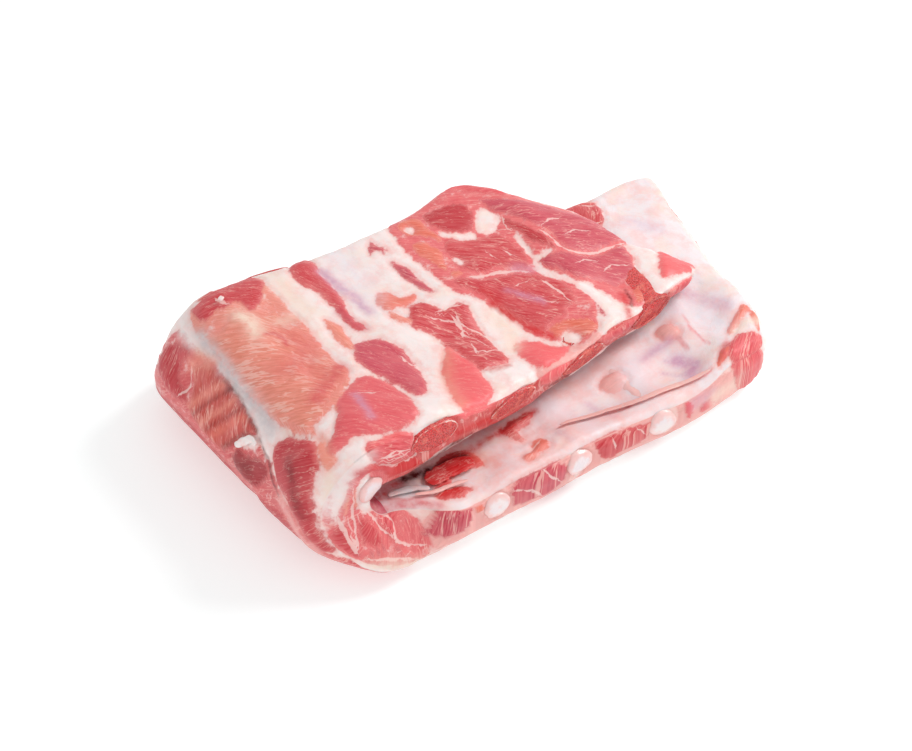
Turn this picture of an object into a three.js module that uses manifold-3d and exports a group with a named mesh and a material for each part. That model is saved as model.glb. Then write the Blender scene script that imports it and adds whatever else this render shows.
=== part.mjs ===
// A slab of raw pork spare ribs, doubled over on itself, as a standalone three.js model.
// Millimetres, +Z up. The slab lies with its fold at -X and its two open ends at +X.
// The ribs run along Y, the sawn edge is at -Y, and the underside rests on z = 0.
// The slab is made flat, as a rounded box that is `along` by `across` by `through`,
// and then folded round a line parallel to the ribs. `through` is 0 on the bone side
// and 1 on the meat side, so the meat side is the outside of the folded slab.
import * as THREE from "three";
import { mergeVertices } from "three/addons/utils/BufferGeometryUtils.js";
import Module from "manifold-3d";

// Driving dimensions. The ribs' pitch is the known size that the rest was scaled from.
const RIB_PITCH = 36;
const FIRST_UPPER_RIB_X = -34;
const FIRST_LOWER_RIB_X = -20.5;
const RIB_WIDTH = 21;
const RIB_THICKNESS = 9;
const CARTILAGE_WIDTH = 11;
const CARTILAGE_THICKNESS = 9.5;
const RIB_CLEARANCE = 0.35;

// The fold's axis is at x = FOLD_X, half way up. The slit runs out to the open ends, and
// gapes at the sawn edge beside the fold.
const FOLD_X = -56;
const LEAF_AT_FOLD = 25;
const FOLD_GAP = 5;
const FOLD_GAP_AT_BACK = 2;
const FOLD_HEIGHT = 2 * LEAF_AT_FOLD + FOLD_GAP;
const FOLD_LEAN = 7;
const LEAN_STARTS_AT = 0.35;
const FLOOR_BLEND = 0.8;
const RIM_HEIGHT_AT_FOLD = 32;
const SLIT_HEIGHT = 1.4;
const SLIT_CLOSES_OVER = 45;
const MOUTH_HEIGHT = 5.5;
const MOUTH_X = -24;
const MOUTH_HALF_WIDTH = 22;
const MOUTH_DEPTH = 0.3;
// Over this distance from the fold's axis each leaf takes on a shape of its own.
const LEAF_BLEND = 25;

// The flat slab's length, width and thickness, which the softened edges are measured on,
// and the radii of those edges.
const FLAT_SIZE = [380, 112, 20];
const END_RADIUS = 12;
const EDGE_RADIUS = 6;
const FRONT_RADIUS_AT_FOLD = 19;
const BACK_RADIUS_ABOVE_FOLD = 27;
const BACK_RADIUS_BELOW_FOLD = 13;
const FACE_RADIUS_AT_FOLD = 10;

// How far along the flat slab the fold starts and ends.
const FOLD_START = 0.43;
const FOLD_END = 0.57;

// How deep the ribs lie, counted from the bone side, and how far they run across the slab.
const UPPER_RIB_DEPTH = 0.64;
const FOLD_RIB_DEPTH = 0.27;
const FOLD_RIB_ANGLE = 0.55;
const LOWER_RIB_DEPTH = 0.36;
const RIB_OVERSHOOT = 0.06;
const SHORT_RIB_REACH = 0.5;

// Segments of the flat box and of each rib.
const STEPS_ALONG = 72;
const STEPS_ACROSS = 22;
const STEPS_THROUGH = 4;
const RIB_SIDES = 12;
const RIB_STEPS = 4;

// Outlines seen from above, each a curve through [x, y], or [across, x] for the open ends.
const UPPER_FRONT = [[-56, -33], [-16, -34], [22, -31], [64, -25], [106, -16]];
const UPPER_BACK = [[-56, 75], [-19, 66.5], [21, 65.5], [45, 69.5], [60, 74], [106, 74]];
const UPPER_END = [[0, 106], [0.12, 104], [0.3, 92], [0.6, 86], [0.78, 72], [0.92, 60], [1, 52]];
const LOWER_FRONT = [[-56, -52], [-30, -50.5], [0, -52], [30, -53], [66, -57], [110, -54]];
const LOWER_BACK = [[-56, 87], [0, 67], [60, 56], [98, 53], [130, 54]];
const LOWER_END = [[0, 105], [0.15, 115], [0.35, 119], [0.55, 125], [0.78, 131.5], [0.93, 136], [1, 133]];

// How far the upper leaf's sawn face leans back under its meat side, against x.
const UPPER_UNDERCUT = [[-56, 0], [-32, 0], [-6, 4], [36, 5.5], [76, 2.5], [106, 1.5]];

// Leaf thickness against x, through the meat and away from the edges.
const UPPER_THICKNESS = [[-56, 25], [-20, 23], [20, 21], [60, 18], [84, 14], [104, 10]];
const LOWER_THICKNESS = [[-56, 25], [-20, 21], [20, 18], [60, 16.5], [100, 16.5], [130, 14]];
// The upper leaf is a little thinner along the sawn edge and thicker at the back.
const UPPER_EDGES = [[0, 0.93], [0.35, 1], [1, 1.12]];

const between = (a, b, t) => a + (b - a) * t;
const clamp = (value, low = 0, high = 1) => Math.min(high, Math.max(low, value));
const smooth = (t) => clamp(t) ** 2 * (3 - 2 * clamp(t));
const hump = (value, centre, halfWidth) => Math.exp(-(((value - centre) / halfWidth) ** 2));

// A smooth curve through the points of an outline, read at one value of its first number.
function along(points, value) {
  const last = points.length - 1;
  let i = 0;
  while (i < last - 1 && value > points[i + 1][0]) i += 1;
  const slope = (k) => {
    const [a, b] = [points[Math.max(k - 1, 0)], points[Math.min(k + 1, last)]];
    return (b[1] - a[1]) / (b[0] - a[0]);
  };
  const [[x0, y0], [x1, y1]] = [points[i], points[i + 1]];
  const span = x1 - x0;
  const t = clamp((value - x0) / span);
  const ease = t * t * (3 - 2 * t);
  const bend = t * (1 - t) * span * ((1 - t) * slope(i) - t * slope(i + 1));
  return between(y0, y1, ease) + bend;
}

// Raised or sunk strips of the meat side: a line of [x, y] points, half width and height.
// x is measured along the meat side, so it runs on past FOLD_X round the fold.
const MEAT_RELIEF = [
  { name: "long top muscle", line: [[20, 20], [50, 8], [70, 22]], half: 20, height: 2.4 },
  { name: "back top muscle", line: [[10, 52], [38, 50], [58, 44]], half: 13, height: 1.8 },
  { name: "raised back corner", line: [[46, 62], [60, 58]], half: 10, height: 2.2 },
  { name: "raised sawn edge", line: [[20, -30], [50, -27]], half: 9, height: 1.5 },
  { name: "ledge under the top muscle", line: [[2, 6], [18, -2], [34, -20]], half: 9, height: -2.6 },
  { name: "middle muscle", line: [[-18, 12], [-4, -4], [6, -24]], half: 9, height: 1.8 },
  { name: "fat beside the middle muscle", line: [[-34, 24], [-18, 0], [-12, -28]], half: 8, height: -1.2 },
  { name: "oval muscle", line: [[-38, 8], [-24, -12]], half: 9, height: 1.6 },
  { name: "front corner muscle", line: [[-46, -14], [-34, -24]], half: 10, height: 1.5 },
  { name: "hollow beside the shoulder", line: [[-46, 44], [-50, 10]], half: 8, height: -1.4 },
  { name: "edge of the silver skin", line: [[-88, 60], [-90, 30], [-96, 0]], half: 7, height: -2.2 },
  { name: "front fold muscle", line: [[-78, -14], [-100, -24], [-124, -26]], half: 8, height: 2.0 },
];
// Raised or sunk strips of the bone side of the lower leaf, in the same form.
const BONE_RELIEF = [
  { name: "rolled front rim", line: [[-10, -46], [40, -49], [84, -50]], half: 9, height: 2.4 },
  { name: "groove behind the rim", line: [[14, -32], [50, -40], [82, -42]], half: 7, height: -1.6 },
  { name: "end muscle roll", line: [[86, -48], [104, -44], [116, -22]], half: 11, height: 5.0 },
  { name: "last rib", line: [[84, -30], [94, 0], [102, 40]], half: 9, height: 2.4 },
  { name: "rib under the upper leaf", line: [[55, -40], [58, 0], [64, 44]], half: 9, height: 2.0 },
  { name: "rib by the front", line: [[19, -40], [22, -20]], half: 8, height: 1.6 },
  { name: "thin back corner", line: [[120, 44], [104, 44]], half: 12, height: -2.5 },
];

// Distance from (x, y) to the nearest point of an open line.
function distanceTo(line, x, y) {
  let best = Infinity;
  for (let i = 0; i < line.length - 1; i += 1) {
    const [[ax, ay], [bx, by]] = [line[i], line[i + 1]];
    const [dx, dy] = [bx - ax, by - ay];
    const t = clamp(((x - ax) * dx + (y - ay) * dy) / (dx * dx + dy * dy));
    best = Math.min(best, Math.hypot(x - ax - dx * t, y - ay - dy * t));
  }
  return best;
}
const reliefAt = (strips, x, y) =>
  strips.reduce((sum, s) => sum + s.height * hump(distanceTo(s.line, x, y), 0, s.half), 0);

// The lower leaf's bone side stands this high above the floor.
function lowerTop(x, y) {
  const fade = smooth((x - FOLD_X) / LEAF_BLEND);
  return along(LOWER_THICKNESS, x) + reliefAt(BONE_RELIEF, x, y) * fade;
}

// The slit between the leaves: tight at the back, open at the front beside the fold.
const foldGap = (across) => between(FOLD_GAP, FOLD_GAP_AT_BACK, smooth(across * 2));
function slit(x, across) {
  const mouth = MOUTH_HEIGHT * hump(x, MOUTH_X, MOUTH_HALF_WIDTH) * (1 - smooth(across / MOUTH_DEPTH));
  const tight = between(foldGap(across), SLIT_HEIGHT, smooth((x - FOLD_X) / SLIT_CLOSES_OVER));
  return tight + mouth * smooth((x - FOLD_X) / LEAF_BLEND);
}

// Distance round the meat side of the fold, as a continuation of x.
const roundTheFold = (angle) => FOLD_X - angle * (FOLD_HEIGHT / 2);

// The relief of the meat side, fading out towards the bone side.
const meatRelief = (x, y, through) => reliefAt(MEAT_RELIEF, x, y) * smooth((through - 0.4) / 0.6);

// The y of a point at this share of the way across. The upper leaf (0) and the lower leaf (1)
// have outlines of their own, which run into each other by height round the fold.
function acrossTo(x, z, leaf, across) {
  const byHeight = smooth(1 - z / RIM_HEIGHT_AT_FOLD);
  const share = between(byHeight, leaf, smooth((x - FOLD_X) / LEAF_BLEND));
  const front = between(along(UPPER_FRONT, x), along(LOWER_FRONT, x), share);
  const back = between(along(UPPER_BACK, x), along(LOWER_BACK, x), share);
  return between(front, back, across);
}

// Softens the box's edges: a point within a radius of two or three faces moves onto a
// quarter ellipse. Returns new distances from the nearest end, side and face, in mm.
function softened(distances, radii) {
  const inside = distances.map((d, i) => Math.max(0, 1 - d / radii[i]));
  const reach = Math.hypot(...inside);
  if (reach < 1e-9) return distances;
  const k = Math.max(...inside) / reach;
  return distances.map((d, i) => (d < radii[i] ? radii[i] * (1 - inside[i] * k) : d));
}

function upperLeafPoint(x, across, through) {
  const z = LEAF_AT_FOLD * (1 + through) + FOLD_GAP;
  const leansBack = along(UPPER_UNDERCUT, x) * (1 - through) * (1 - across);
  const y = acrossTo(x, z, 0, across) + leansBack;
  const full = along(UPPER_THICKNESS, x) * along(UPPER_EDGES, across);
  const plain = between(LEAF_AT_FOLD, full, smooth((x - FOLD_X) / LEAF_BLEND));
  const thickness = plain + meatRelief(x, y, through);
  return new THREE.Vector3(x, y, lowerTop(x, y) + slit(x, across) + thickness * through);
}

function lowerLeafPoint(x, across, through) {
  const y = acrossTo(x, LEAF_AT_FOLD * (1 - through), 1, across);
  return new THREE.Vector3(x, y, lowerTop(x, y) * (1 - through));
}

// A point of the fold, with the angle 0 at the upper leaf and half a turn at the lower one.
function foldPoint(angle, across, through) {
  const innerRadius = foldGap(across) / 2;
  const middle = LEAF_AT_FOLD + innerRadius;
  const plain = innerRadius + LEAF_AT_FOLD * through;
  const y = acrossTo(FOLD_X, middle + plain * Math.cos(angle), 0, across);
  const clearOfFloor = smooth((Math.PI - angle) / FLOOR_BLEND);
  const radius = plain + meatRelief(roundTheFold(angle), y, through) * clearOfFloor;
  const lowDown = Math.sin(angle) ** 2 * smooth((angle / Math.PI) * 1.3);
  const lean = FOLD_LEAN * lowDown * smooth(across / LEAN_STARTS_AT) * through;
  return new THREE.Vector3(
    FOLD_X - radius * Math.sin(angle) - lean,
    y,
    middle + radius * Math.cos(angle),
  );
}

// Where a point of the flat slab lies once the slab is folded.
function folded(p, across, through) {
  if (p <= FOLD_START) {
    const x = between(along(UPPER_END, across), FOLD_X, p / FOLD_START);
    return upperLeafPoint(x, across, through);
  }
  if (p < FOLD_END) {
    const angle = (Math.PI * (p - FOLD_START)) / (FOLD_END - FOLD_START);
    return foldPoint(angle, across, through);
  }
  const x = between(FOLD_X, along(LOWER_END, across), (p - FOLD_END) / (1 - FOLD_END));
  return lowerLeafPoint(x, across, through);
}

// The radii of the softened ends, sides and faces near one point of the flat slab.
function edgeRadii(p, across, through) {
  const atFold = hump(p, (FOLD_START + FOLD_END) / 2, FOLD_END - FOLD_START);
  const outside = smooth(through);
  const fold = clamp((p - FOLD_START) / (FOLD_END - FOLD_START));
  const back = between(BACK_RADIUS_ABOVE_FOLD, BACK_RADIUS_BELOW_FOLD, smooth(fold));
  const side = across < 0.5 ? FRONT_RADIUS_AT_FOLD : back;
  return [
    END_RADIUS,
    between(EDGE_RADIUS, side, atFold * outside),
    between(EDGE_RADIUS, FACE_RADIUS_AT_FOLD, atFold * outside),
  ];
}

// One point of the rounded, folded slab.
function slabPoint(p, across, through) {
  const flat = [p, across, through];
  const near = flat.map((value, i) => Math.min(value, 1 - value) * FLAT_SIZE[i]);
  const soft = softened(near, edgeRadii(p, across, through));
  const rounded = soft.map((d, i) => (flat[i] < 0.5 ? d / FLAT_SIZE[i] : 1 - d / FLAT_SIZE[i]));
  return folded(...rounded);
}

// Drops everything but the positions, so that shared corners become one vertex, and moves
// each vertex to its place.
function mappedGeometry(geometry, place) {
  geometry.deleteAttribute("normal");
  geometry.deleteAttribute("uv");
  const merged = mergeVertices(geometry, 1e-4);
  const position = merged.getAttribute("position");
  for (let i = 0; i < position.count; i += 1) {
    const point = place(...[0, 1, 2].map((k) => position.getComponent(i, k)));
    position.setXYZ(i, point.x, point.y, point.z);
  }
  return merged;
}

// The box's x, y and z become along, across and, turned over, through.
function slabGeometry() {
  const box = new THREE.BoxGeometry(1, 1, 1, STEPS_ALONG, STEPS_ACROSS, STEPS_THROUGH);
  return mappedGeometry(box, (x, y, z) => slabPoint(x + 0.5, y + 0.5, 0.5 - z));
}

// A rod through the slab, as wide and thick as a rib plus twice the clearance. It follows the
// leaf that it lies in, from just outside the sawn edge to the rib's reach across the slab.
function ribGeometry(rib, clearance) {
  const rod = new THREE.CylinderGeometry(1, 1, 1, RIB_SIDES, RIB_STEPS);
  const end = rib.reach + clearance / FLAT_SIZE[1];
  return mappedGeometry(rod, (side, t, up) => {
    const centre = rib.centre(between(-RIB_OVERSHOOT, end, 0.5 - t));
    return new THREE.Vector3(
      centre.x + side * (rib.width / 2 + clearance),
      centre.y,
      centre.z - up * (rib.thickness / 2 + clearance),
    );
  });
}

const upperRibs = [0, 1, 2, 3].map((i) => ({
  name: `rib_upper_${i + 1}`,
  width: RIB_WIDTH,
  thickness: RIB_THICKNESS,
  reach: i === 3 ? SHORT_RIB_REACH : 1 + RIB_OVERSHOOT,
  centre: (across) => upperLeafPoint(FIRST_UPPER_RIB_X + i * RIB_PITCH, across, UPPER_RIB_DEPTH),
}));
const foldRib = {
  name: "rib_fold",
  width: CARTILAGE_THICKNESS,
  thickness: CARTILAGE_WIDTH,
  reach: 1 + RIB_OVERSHOOT,
  centre: (across) => foldPoint(FOLD_RIB_ANGLE, across, FOLD_RIB_DEPTH),
};
const lowerRibs = [0, 1, 2].map((i) => ({
  name: `rib_lower_${i + 1}`,
  width: CARTILAGE_WIDTH,
  thickness: CARTILAGE_THICKNESS,
  reach: 1 + RIB_OVERSHOOT,
  centre: (across) => lowerLeafPoint(FIRST_LOWER_RIB_X + i * RIB_PITCH, across, LOWER_RIB_DEPTH),
}));

const wasm = await Module();
wasm.setup();

function solidOf(geometry) {
  const mesh = new wasm.Mesh({
    numProp: 3,
    vertProperties: geometry.getAttribute("position").array,
    triVerts: new Uint32Array(geometry.index.array),
  });
  return new wasm.Manifold(mesh);
}

function meshOf(name, solid, material) {
  const made = solid.getMesh();
  const geometry = new THREE.BufferGeometry();
  geometry.setAttribute("position", new THREE.BufferAttribute(made.vertProperties, 3));
  geometry.setIndex(new THREE.BufferAttribute(made.triVerts, 1));
  const mesh = new THREE.Mesh(geometry, material);
  mesh.name = name;
  return mesh;
}

const meatMaterial = new THREE.MeshStandardMaterial({ color: 0xcb6066, roughness: 0.4, metalness: 0 });
const boneMaterial = new THREE.MeshStandardMaterial({ color: 0xd84a48, roughness: 0.55, metalness: 0 });
const cartilageMaterial = new THREE.MeshStandardMaterial({ color: 0xf2dcdd, roughness: 0.4, metalness: 0 });

const slab = solidOf(slabGeometry());
const group = new THREE.Group();
let meat = slab;
for (const rib of [...upperRibs, foldRib, ...lowerRibs]) {
  meat = meat.subtract(solidOf(ribGeometry(rib, RIB_CLEARANCE)));
  const rod = solidOf(ribGeometry(rib, 0)).intersect(slab);
  group.add(meshOf(rib.name, rod, upperRibs.includes(rib) ? boneMaterial : cartilageMaterial));
}
group.add(meshOf("meat", meat, meatMaterial));

// The origin is on the floor under the middle of the whole slab.
const bounds = new THREE.Box3().setFromObject(group);
const middle = bounds.getCenter(new THREE.Vector3());
group.position.set(-middle.x, -middle.y, -bounds.min.z);

export default group;
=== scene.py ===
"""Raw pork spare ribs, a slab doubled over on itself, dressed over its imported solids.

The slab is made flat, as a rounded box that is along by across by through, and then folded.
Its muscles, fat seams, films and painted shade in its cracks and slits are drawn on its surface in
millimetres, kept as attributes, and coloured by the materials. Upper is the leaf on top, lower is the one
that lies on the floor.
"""

import math

import bmesh
import bpy
import numpy as np
from bpy.props import FloatProperty, FloatVectorProperty, PointerProperty
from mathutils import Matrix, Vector, noise
from mathutils.bvhtree import BVHTree


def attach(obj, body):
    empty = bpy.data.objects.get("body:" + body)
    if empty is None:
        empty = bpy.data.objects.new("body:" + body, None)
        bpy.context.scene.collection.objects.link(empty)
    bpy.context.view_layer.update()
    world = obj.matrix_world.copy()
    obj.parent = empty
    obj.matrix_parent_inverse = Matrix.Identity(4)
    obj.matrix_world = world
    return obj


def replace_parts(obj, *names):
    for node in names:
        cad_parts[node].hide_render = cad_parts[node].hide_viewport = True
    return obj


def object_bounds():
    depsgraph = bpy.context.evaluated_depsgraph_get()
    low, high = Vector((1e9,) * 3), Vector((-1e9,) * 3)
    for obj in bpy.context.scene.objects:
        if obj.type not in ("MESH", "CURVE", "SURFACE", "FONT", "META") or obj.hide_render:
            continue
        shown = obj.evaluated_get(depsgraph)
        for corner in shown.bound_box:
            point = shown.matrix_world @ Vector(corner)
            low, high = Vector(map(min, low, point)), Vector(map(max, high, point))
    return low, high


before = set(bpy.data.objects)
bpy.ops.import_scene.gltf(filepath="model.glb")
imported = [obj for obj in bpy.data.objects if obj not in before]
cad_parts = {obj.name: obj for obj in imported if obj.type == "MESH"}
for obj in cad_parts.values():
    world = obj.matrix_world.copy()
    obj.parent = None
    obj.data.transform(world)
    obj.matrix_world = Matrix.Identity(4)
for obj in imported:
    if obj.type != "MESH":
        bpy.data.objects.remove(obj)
CAD_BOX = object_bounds()
CAD_LOW, CAD_HIGH = (np.array(corner) for corner in CAD_BOX)

bl_info = {
    "name": "Raw Pork Spare Ribs",
    "version": (1, 0, 0),
    "blender": (4, 5, 0),
    "location": "3D View > Sidebar > Spare Ribs",
    "description": "Builds a folded slab of raw spare ribs with its sawn rib ends",
    "category": "Add Mesh",
}

# Form of the slab, in millimetres, the same as the solids'.
FOLD_X = -56.0
LEAF_AT_FOLD = 25.0
FOLD_GAP = 5.0
FOLD_GAP_AT_BACK = 2.0
FOLD_HEIGHT = 2 * LEAF_AT_FOLD + FOLD_GAP
FOLD_LEAN = 7.0
LEAN_STARTS_AT = 0.35
FLOOR_BLEND = 0.8
RIM_HEIGHT_AT_FOLD = 32.0
SLIT_HEIGHT = 1.4
SLIT_CLOSES_OVER = 45.0
MOUTH_HEIGHT = 5.5
MOUTH_X = -24.0
MOUTH_HALF_WIDTH = 22.0
MOUTH_DEPTH = 0.3
LEAF_BLEND = 25.0
FLAT_SIZE = (380.0, 112.0, 20.0)
END_RADIUS = 12.0
EDGE_RADIUS = 6.0
FRONT_RADIUS_AT_FOLD = 19.0
BACK_RADIUS_ABOVE_FOLD = 27.0
BACK_RADIUS_BELOW_FOLD = 13.0
FACE_RADIUS_AT_FOLD = 10.0
FOLD_START = 0.43
FOLD_END = 0.57
MM = 0.001
RIB_PITCH = 36.0
FIRST_UPPER_RIB_X = -34.0
FIRST_LOWER_RIB_X = -20.5
RIB_SIZE = (21.0, 9.0)
CARTILAGE_SIZE = (11.0, 9.5)
UPPER_RIB_DEPTH = 0.64
FOLD_RIB_DEPTH = 0.27
FOLD_RIB_ANGLE = 0.55
LOWER_RIB_DEPTH = 0.36
SHORT_RIB_REACH = 0.5

# How finely the pieces are cut. A stop is a share of the slab's grid lines and its place along the slab.
GRID = (362, 112, 18)
GRID_STOPS = [(0, 0), (162 / 434, FOLD_START), (248 / 434, FOLD_END), (1, 1)]
RIB_GRID = (26, 40, 12)
RIB_UNEVENNESS = 0.14
RIB_LUMP = 0.7
STRAND_GRID = (36, 8, 6)
STRAND_UNEVENNESS = 0.3
STRAND_LUMP = 2.5
STRAND_SINK = 0.2
CURVE_STEPS = 4
FIELD_LIMIT = 6.0
SEAM_REACH = 2.5
BACKING_DEPTH = 0.9

# Noise, as lump size in mm, height and seed: what frays the outlines of the muscles both ways, and what
# bends the layers that show on the back and the ends.
OUTLINE_NOISES = [[(4.5, 0.6, 0), (1.6, 0.25, 3)], [(4.5, 0.6, 1), (1.6, 0.25, 4)]]
LAYERS_START = 0.22
LAYERS_BEND = (9, 0.16, 8)
STRIPES_BEND = (14, 9, 9)
STRIPES_STRETCH = (1, 1, 2.5)
STRIPES_WIDTH = 1.2

# Relief of the meat, in millimetres, and its lumps as lump size, height and seed.
LUMP_NOISES = [(5.0, 1.0, 2), (2.4, 0.5, 4)]
MUSCLE_EDGE = 1.2
CROWN_REACH = 3.5
GROOVE_HALF = 0.9
CREASE_DEPTH = 0.3
CREASE_HALF = 1.2
FIBRE_HEIGHT = 0.16
LOOSE_HEIGHT = 0.3
LUMP_HEIGHT = 0.22
LOOSE_FROM = 0.9
FIBRE_SIZE = 2.0
FIBRE_LENGTH = 4
FIBRE_SHIFT = 9
CLEAR_OF_SOLID = 0.25
SOCKET_REACH = 1.2

# Ends of the ribs, as shares of the way out from the middle, and how fast their relief fades along.
MARROW_EDGE = (0.8, 0.92)
RIM_START = 0.82
END_FADE = 12
SPONGE_NOISES = [(1.1, 1.0, 5), (0.55, 0.6, 6)]
SPONGE_SHARE = 0.7

# Noise of the materials: lumps in a metre, detail and roughness.
EDGE_NOISE = (260.0, 4.0, 0.65)
FILM_NOISE = (420.0, 3.0, 0.6)
BUMP_NOISE = (800.0, 3.0, 0.6)
ROSY_NOISE = (130.0, 5.0, 0.65)
CREAMY_NOISE = (75.0, 4.0, 0.6)
SEAM_NOISE = (420.0, 3.0, 0.6)
SEAM_WIDTH_NOISE = (210.0, 3.0, 0.6)
RIM_NOISE = (330.0, 4.0, 0.65)
MARROW_NOISE = (1500.0, 3.0, 0.7)
MARROW_PATCH_NOISE = (260.0, 2.0, 0.5)
MARROW_CELLS = 1100.0
CARTILAGE_CLOUD_NOISE = (180.0, 3.0, 0.5)
CARTILAGE_BLUSH_NOISE = (320.0, 2.0, 0.5)
CARTILAGE_EDGE_NOISE = (300.0, 4.0, 0.6)
CARTILAGE_GLOSS_NOISE = (500.0, 2.0, 0.5)
CARTILAGE_BUMP_NOISE = (700.0, 2.0, 0.5)

# How a millimetre along the grain, across it and a turn of the grain are scaled for each noise.
FINE_FIBRES = (0.22, 1.6, 3)
FAT_STREAKS = (0.1, 0.55, 3)
STREAKY_PLACES = (0.12, 0.2, 5)
PALE_BLOTCHES = (0.1, 0.18, 2)
FAT_STREAK_WIDTH = 0.022

# Camera and floor.
TARGET_HEIGHT = 25.0
CAMERA_LENS = 99.47
CAMERA_SENSOR = 36
FLOOR_SIZE = 3.0
FLOOR_DROP = 0.0002
KEY_PLACE = (0.85, -0.15, 0.8)
FILL_PLACE = (-0.3, -0.9, 0.6)
SIDE_PLACE = (-1.0, 0.1, 0.4)

UPPER_FRONT = [(-56, -33), (-16, -34), (22, -31), (64, -25), (106, -16)]
UPPER_BACK = [(-56, 75), (-19, 66.5), (21, 65.5), (45, 69.5), (60, 74), (106, 74)]
UPPER_UNDERCUT = [(-56, 0), (-32, 0), (-6, 4), (36, 5.5), (76, 2.5), (106, 1.5)]
UPPER_END = [(0, 106), (0.12, 104), (0.3, 92), (0.6, 86), (0.78, 72), (0.92, 60), (1, 52)]
LOWER_FRONT = [(-56, -52), (-30, -50.5), (0, -52), (30, -53), (66, -57), (110, -54)]
LOWER_BACK = [(-56, 87), (0, 67), (60, 56), (98, 53), (130, 54)]
LOWER_END = [(0, 105), (0.15, 115), (0.35, 119), (0.55, 125), (0.78, 131.5), (0.93, 136), (1, 133)]
UPPER_THICKNESS = [(-56, 25), (-20, 23), (20, 21), (60, 18), (84, 14), (104, 10)]
LOWER_THICKNESS = [(-56, 25), (-20, 21), (20, 18), (60, 16.5), (100, 16.5), (130, 14)]
UPPER_EDGES = [(0, 0.93), (0.35, 1), (1, 1.12)]

# Raised or sunk strips: a line, half width and height.
MEAT_RELIEF = [
    ([(20, 20), (50, 8), (70, 22)], 20, 2.4),
    ([(10, 52), (38, 50), (58, 44)], 13, 1.8),
    ([(46, 62), (60, 58)], 10, 2.2),
    ([(20, -30), (50, -27)], 9, 1.5),
    ([(2, 6), (18, -2), (34, -20)], 9, -2.6),
    ([(-18, 12), (-4, -4), (6, -24)], 9, 1.8),
    ([(-34, 24), (-18, 0), (-12, -28)], 8, -1.2),
    ([(-38, 8), (-24, -12)], 9, 1.6),
    ([(-46, -14), (-34, -24)], 10, 1.5),
    ([(-46, 44), (-50, 10)], 8, -1.4),
    ([(-88, 60), (-90, 30), (-96, 0)], 7, -2.2),
    ([(-78, -14), (-100, -24), (-124, -26)], 8, 2.0),
]
BONE_RELIEF = [
    ([(-10, -46), (40, -49), (84, -50)], 9, 2.4),
    ([(14, -32), (50, -40), (82, -42)], 7, -1.6),
    ([(86, -48), (104, -44), (116, -22)], 11, 5.0),
    ([(84, -30), (94, 0), (102, 40)], 9, 2.4),
    ([(55, -40), (58, 0), (64, 44)], 9, 2.0),
    ([(19, -40), (22, -20)], 8, 1.6),
    ([(120, 44), (104, 44)], 12, -2.5),
]

# Colours as they look, red green and blue from 0 to 255.
RED = (209, 80, 86)
DEEP = (194, 60, 68)
MAUVE = (204, 84, 98)
ROSE = (238, 106, 110)
PINK = (226, 100, 106)
SALMON = (238, 152, 134)
ORANGE = (234, 128, 110)
RASPBERRY = (197, 82, 98)
BROWN = (198, 76, 68)
DARK = (168, 46, 54)
BLOOD = (206, 26, 30)
SHADOW_RED = (84, 10, 12)
CREAM = (242, 216, 200)
WHITE = (241, 226, 224)
BLUISH = (226, 220, 228)
SILVER = (206, 196, 198)
SEAM_FAT = (243, 214, 208)
PALE_STREAK = (245, 198, 186)
LILAC = (204, 158, 184)
BLUSH = (240, 184, 178)
PALE_FIBRE = (238, 150, 146)
MEMBRANE = (236, 224, 227)
RIM_FAT = (243, 216, 210)
BONE_RIM = (244, 226, 216)
CARTILAGE = (236, 222, 226)

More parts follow.
